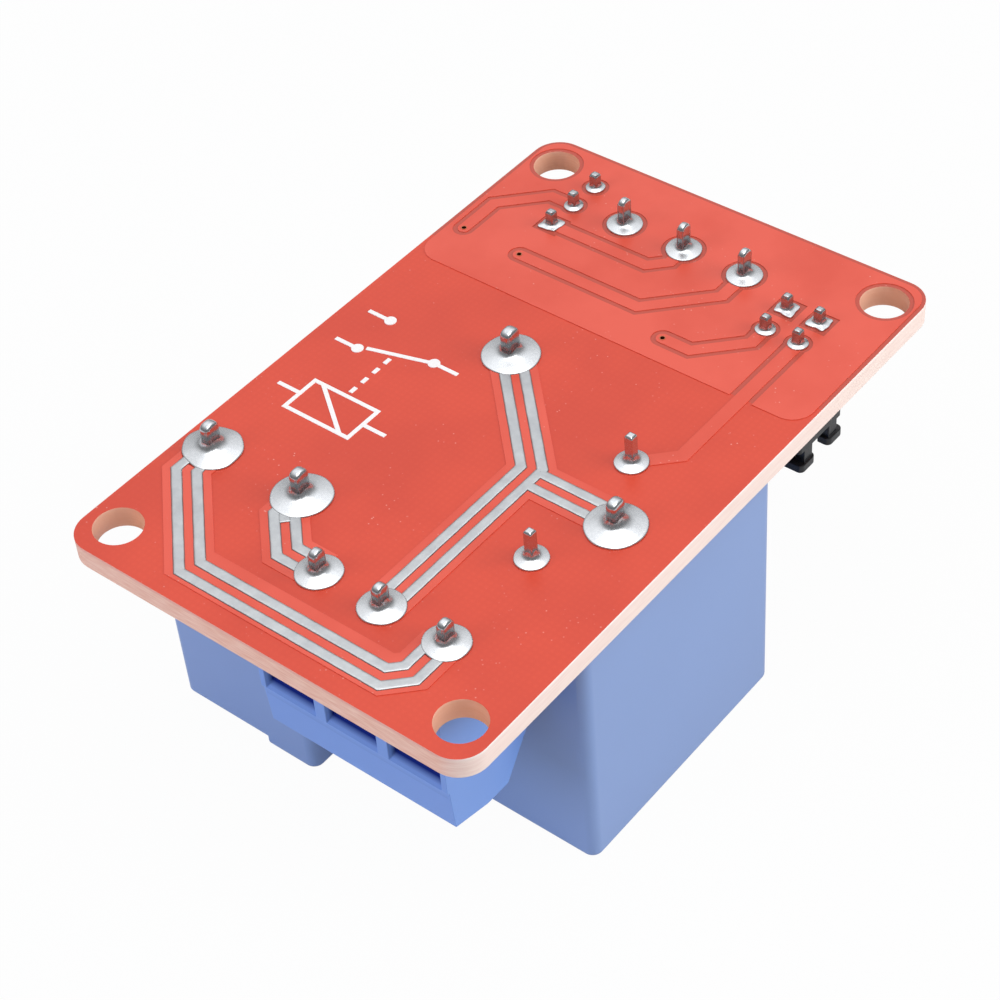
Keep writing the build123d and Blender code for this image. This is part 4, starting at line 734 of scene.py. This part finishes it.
soft_iron = rolled_metal("zinc_plated_soft_iron", "#A9ADB2", "#C3C6C9", 0.35, 0.3)
phosphor_bronze = rolled_metal("phosphor_bronze_strip", "#B27A4B", "#C98F5C", 0.3, 0.2)
silver = rolled_metal("silver_contact_alloy", "#D2D0CA", "#E8E6E0", 0.25, 0.2)
for node in ("coil_core", "yoke", "armature"):
    dress(frame["nodes"][node], soft_iron)
for node in ("contact_spring", "no_contact", "nc_contact"):
    dress(frame["nodes"][node], phosphor_bronze)
dress(frame["nodes"]["moving_contact"], silver)

# The terminal blocks are nylon, a purer and brighter blue than the relay. Funnels lead each wire in, and the
# shade in them is painted: the blue is painted darker with the distance from the housing's outer faces.
# Inside each pole a plated steel clamp rises on a slotted screw and presses the wire against a tinned bar.
shade_low_z, shade_start, shade_full = -9.1 * mm, 0.18 * mm, 0.48 * mm    # it ends short of the screw wells
for block in ("output", "input"):
    block_blue = moulded_plastic(f"nylon_bright_blue_{block}", "#6B90D4", "#7297DA", 0.33, 4.0)
    tree = block_blue.node_tree
    shader = tree.nodes["Principled BSDF"]
    low, high = np.array(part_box(f"{block}_housing"))
    low[2] = shade_low_z
    where = add_node(tree, "ShaderNodeTexCoord").outputs["Object"]
    offset = add_node(tree, "ShaderNodeVectorMath", {0: where, 1: tuple((low + high) / 2)},
                      operation="SUBTRACT")
    away = add_node(tree, "ShaderNodeVectorMath", {0: offset.outputs[0]}, operation="ABSOLUTE")
    inward = add_node(tree, "ShaderNodeVectorMath", {0: tuple((high - low) / 2), 1: away.outputs[0]},
                      operation="SUBTRACT")
    inward = add_node(tree, "ShaderNodeSeparateXYZ", {"Vector": inward.outputs[0]})
    least = add_node(tree, "ShaderNodeMath", {0: inward.outputs["X"], 1: inward.outputs["Y"]},
                     operation="MINIMUM")
    least = add_node(tree, "ShaderNodeMath", {0: least.outputs[0], 1: inward.outputs["Z"]},
                     operation="MINIMUM")
    painted_shade = add_node(tree, "ShaderNodeMapRange", {"Value": least.outputs[0], "From Min": shade_start,
                                                   "From Max": shade_full})
    # Painted shade: deeper into the funnels the blue is tinted towards navy and its reflection is dimmed.
    tint(tree, shader, painted_shade.outputs[0], "#0D2478")
    painted_shade_specular = add_node(tree, "ShaderNodeMapRange", {"Value": painted_shade.outputs[0], "To Min": 0.5, "To Max": 0.05})
    fill(tree, shader, {"Specular IOR Level": painted_shade_specular.outputs[0]})
    dress(soften(f"{block}_housing", "moulding", 0.09), block_blue)
screw_nickel = rolled_metal("nickel_plated_steel_screw", "#B4B5B4", "#D0D0CE", 0.24, 0.25)
clamp_zinc = rolled_metal("zinc_plated_steel_clamp", "#B9BBBC", "#D3D4D3", 0.33, 0.25)
for block in ("output", "input"):
    dress(frame["nodes"][f"{block}_current_bars"], tin)
    for number in (1, 2, 3):
        dress(soften(f"{block}_screw_{number}", "plated", 0.06), screw_nickel)
        dress(soften(f"{block}_clamp_{number}", "folded", 0.1), clamp_zinc)


# Pin headers and jumper caps are black nylon, the caps a little glossier where fingers pull at their lips.
# The pins are gold-flashed brass with tails that the solder tinned, and a bronze clip sits in each cap.
def black_moulding(name, tone, roughness):
    """A black plastic with a fine pitted skin."""
    material, tree, shader, where = begin_material(name)
    pit_size = 0.1 * mm
    pits = add_node(tree, "ShaderNodeTexNoise", {"Vector": where, "Scale": 1 / pit_size, "Detail": 3.0})
    sheen = add_node(tree, "ShaderNodeMapRange", {"Value": pits.outputs["Fac"], "To Min": roughness - 0.08,
                                                  "To Max": roughness + 0.08})
    shade = add_node(tree, "ShaderNodeMix", {"Factor": pits.outputs["Fac"], 6: linear(tone),
                                             7: linear("#202123")}, data_type="RGBA")
    surface = add_node(tree, "ShaderNodeBump", {"Height": pits.outputs["Fac"], "Strength": 0.3,
                                                "Distance": 0.01 * mm})
    fill(tree, shader, {"Base Color": shade.outputs[2], "Roughness": sheen.outputs[0],
                        "Normal": surface.outputs[0]})
    return material


black_nylon = black_moulding("black_nylon", "#17181A", 0.42)
cap_black = black_moulding("black_nylon_worn_cap", "#141416", 0.3)
gold_flash = rolled_metal("gold_flashed_brass", "#C39A45", "#DDB964", 0.25, 0.2)
tree = gold_flash.node_tree
tail_z = -0.8 * mm
place = add_node(tree, "ShaderNodeSeparateXYZ",
                 {"Vector": add_node(tree, "ShaderNodeTexCoord").outputs["Object"]})
tail = add_node(tree, "ShaderNodeMath", {0: place.outputs["Z"], 1: tail_z}, operation="GREATER_THAN")
tint(tree, tree.nodes["Principled BSDF"], tail.outputs[0], "#BCBEC0")
for header in ("select_header", "supply_header", "trigger_header"):
    dress(soften(f"{header}_body", "moulding", 0.07), black_nylon)
    dress(soften(f"{header}_pins", "plated", 0.19, 3), gold_flash)
for cap in ("select_cap", "supply_cap"):
    dress(soften(cap, "moulding", 0.14, 3), cap_black)
    dress(frame["nodes"][f"{cap}_clip"], phosphor_bronze)

# The driver's small parts are soldered flat to the component side between the relay and the input block.
# Bodies are black epoxy, end caps and leads are tinned, and the two lamps are clear resin, red and green.
epoxy = black_moulding("black_epoxy", "#1B1B1C", 0.5)
for node in ("optocoupler", "transistor", "diode", "resistor_1", "resistor_2", "resistor_3", "resistor_4"):
    dress(soften(node, "epoxy", 0.05), epoxy)
for node in ("optocoupler_leads", "transistor_leads", "diode_tabs", "chip_terminals"):
    dress(frame["nodes"][node], tin)


def clear_resin(name, tone):
    """A tinted clear resin that lets some light through its surface."""
    material, tree, shader, where = begin_material(name)
    cloud = add_node(tree, "ShaderNodeTexNoise", {"Vector": where, "Scale": 1 / (0.6 * mm)})
    sheen = add_node(tree, "ShaderNodeMapRange", {"Value": cloud.outputs["Fac"], "To Min": 0.08,
                                                  "To Max": 0.16})
    fill(tree, shader, {"Base Color": linear(tone), "Roughness": sheen.outputs[0], "IOR": 1.53,
                        "Subsurface Weight": 0.3, "Subsurface Scale": 0.4 * mm})
    return material


dress(frame["nodes"]["power_led"], clear_resin("clear_red_resin", "#D8402F"))
dress(frame["nodes"]["status_led"], clear_resin("clear_green_resin", "#9FD08A"))
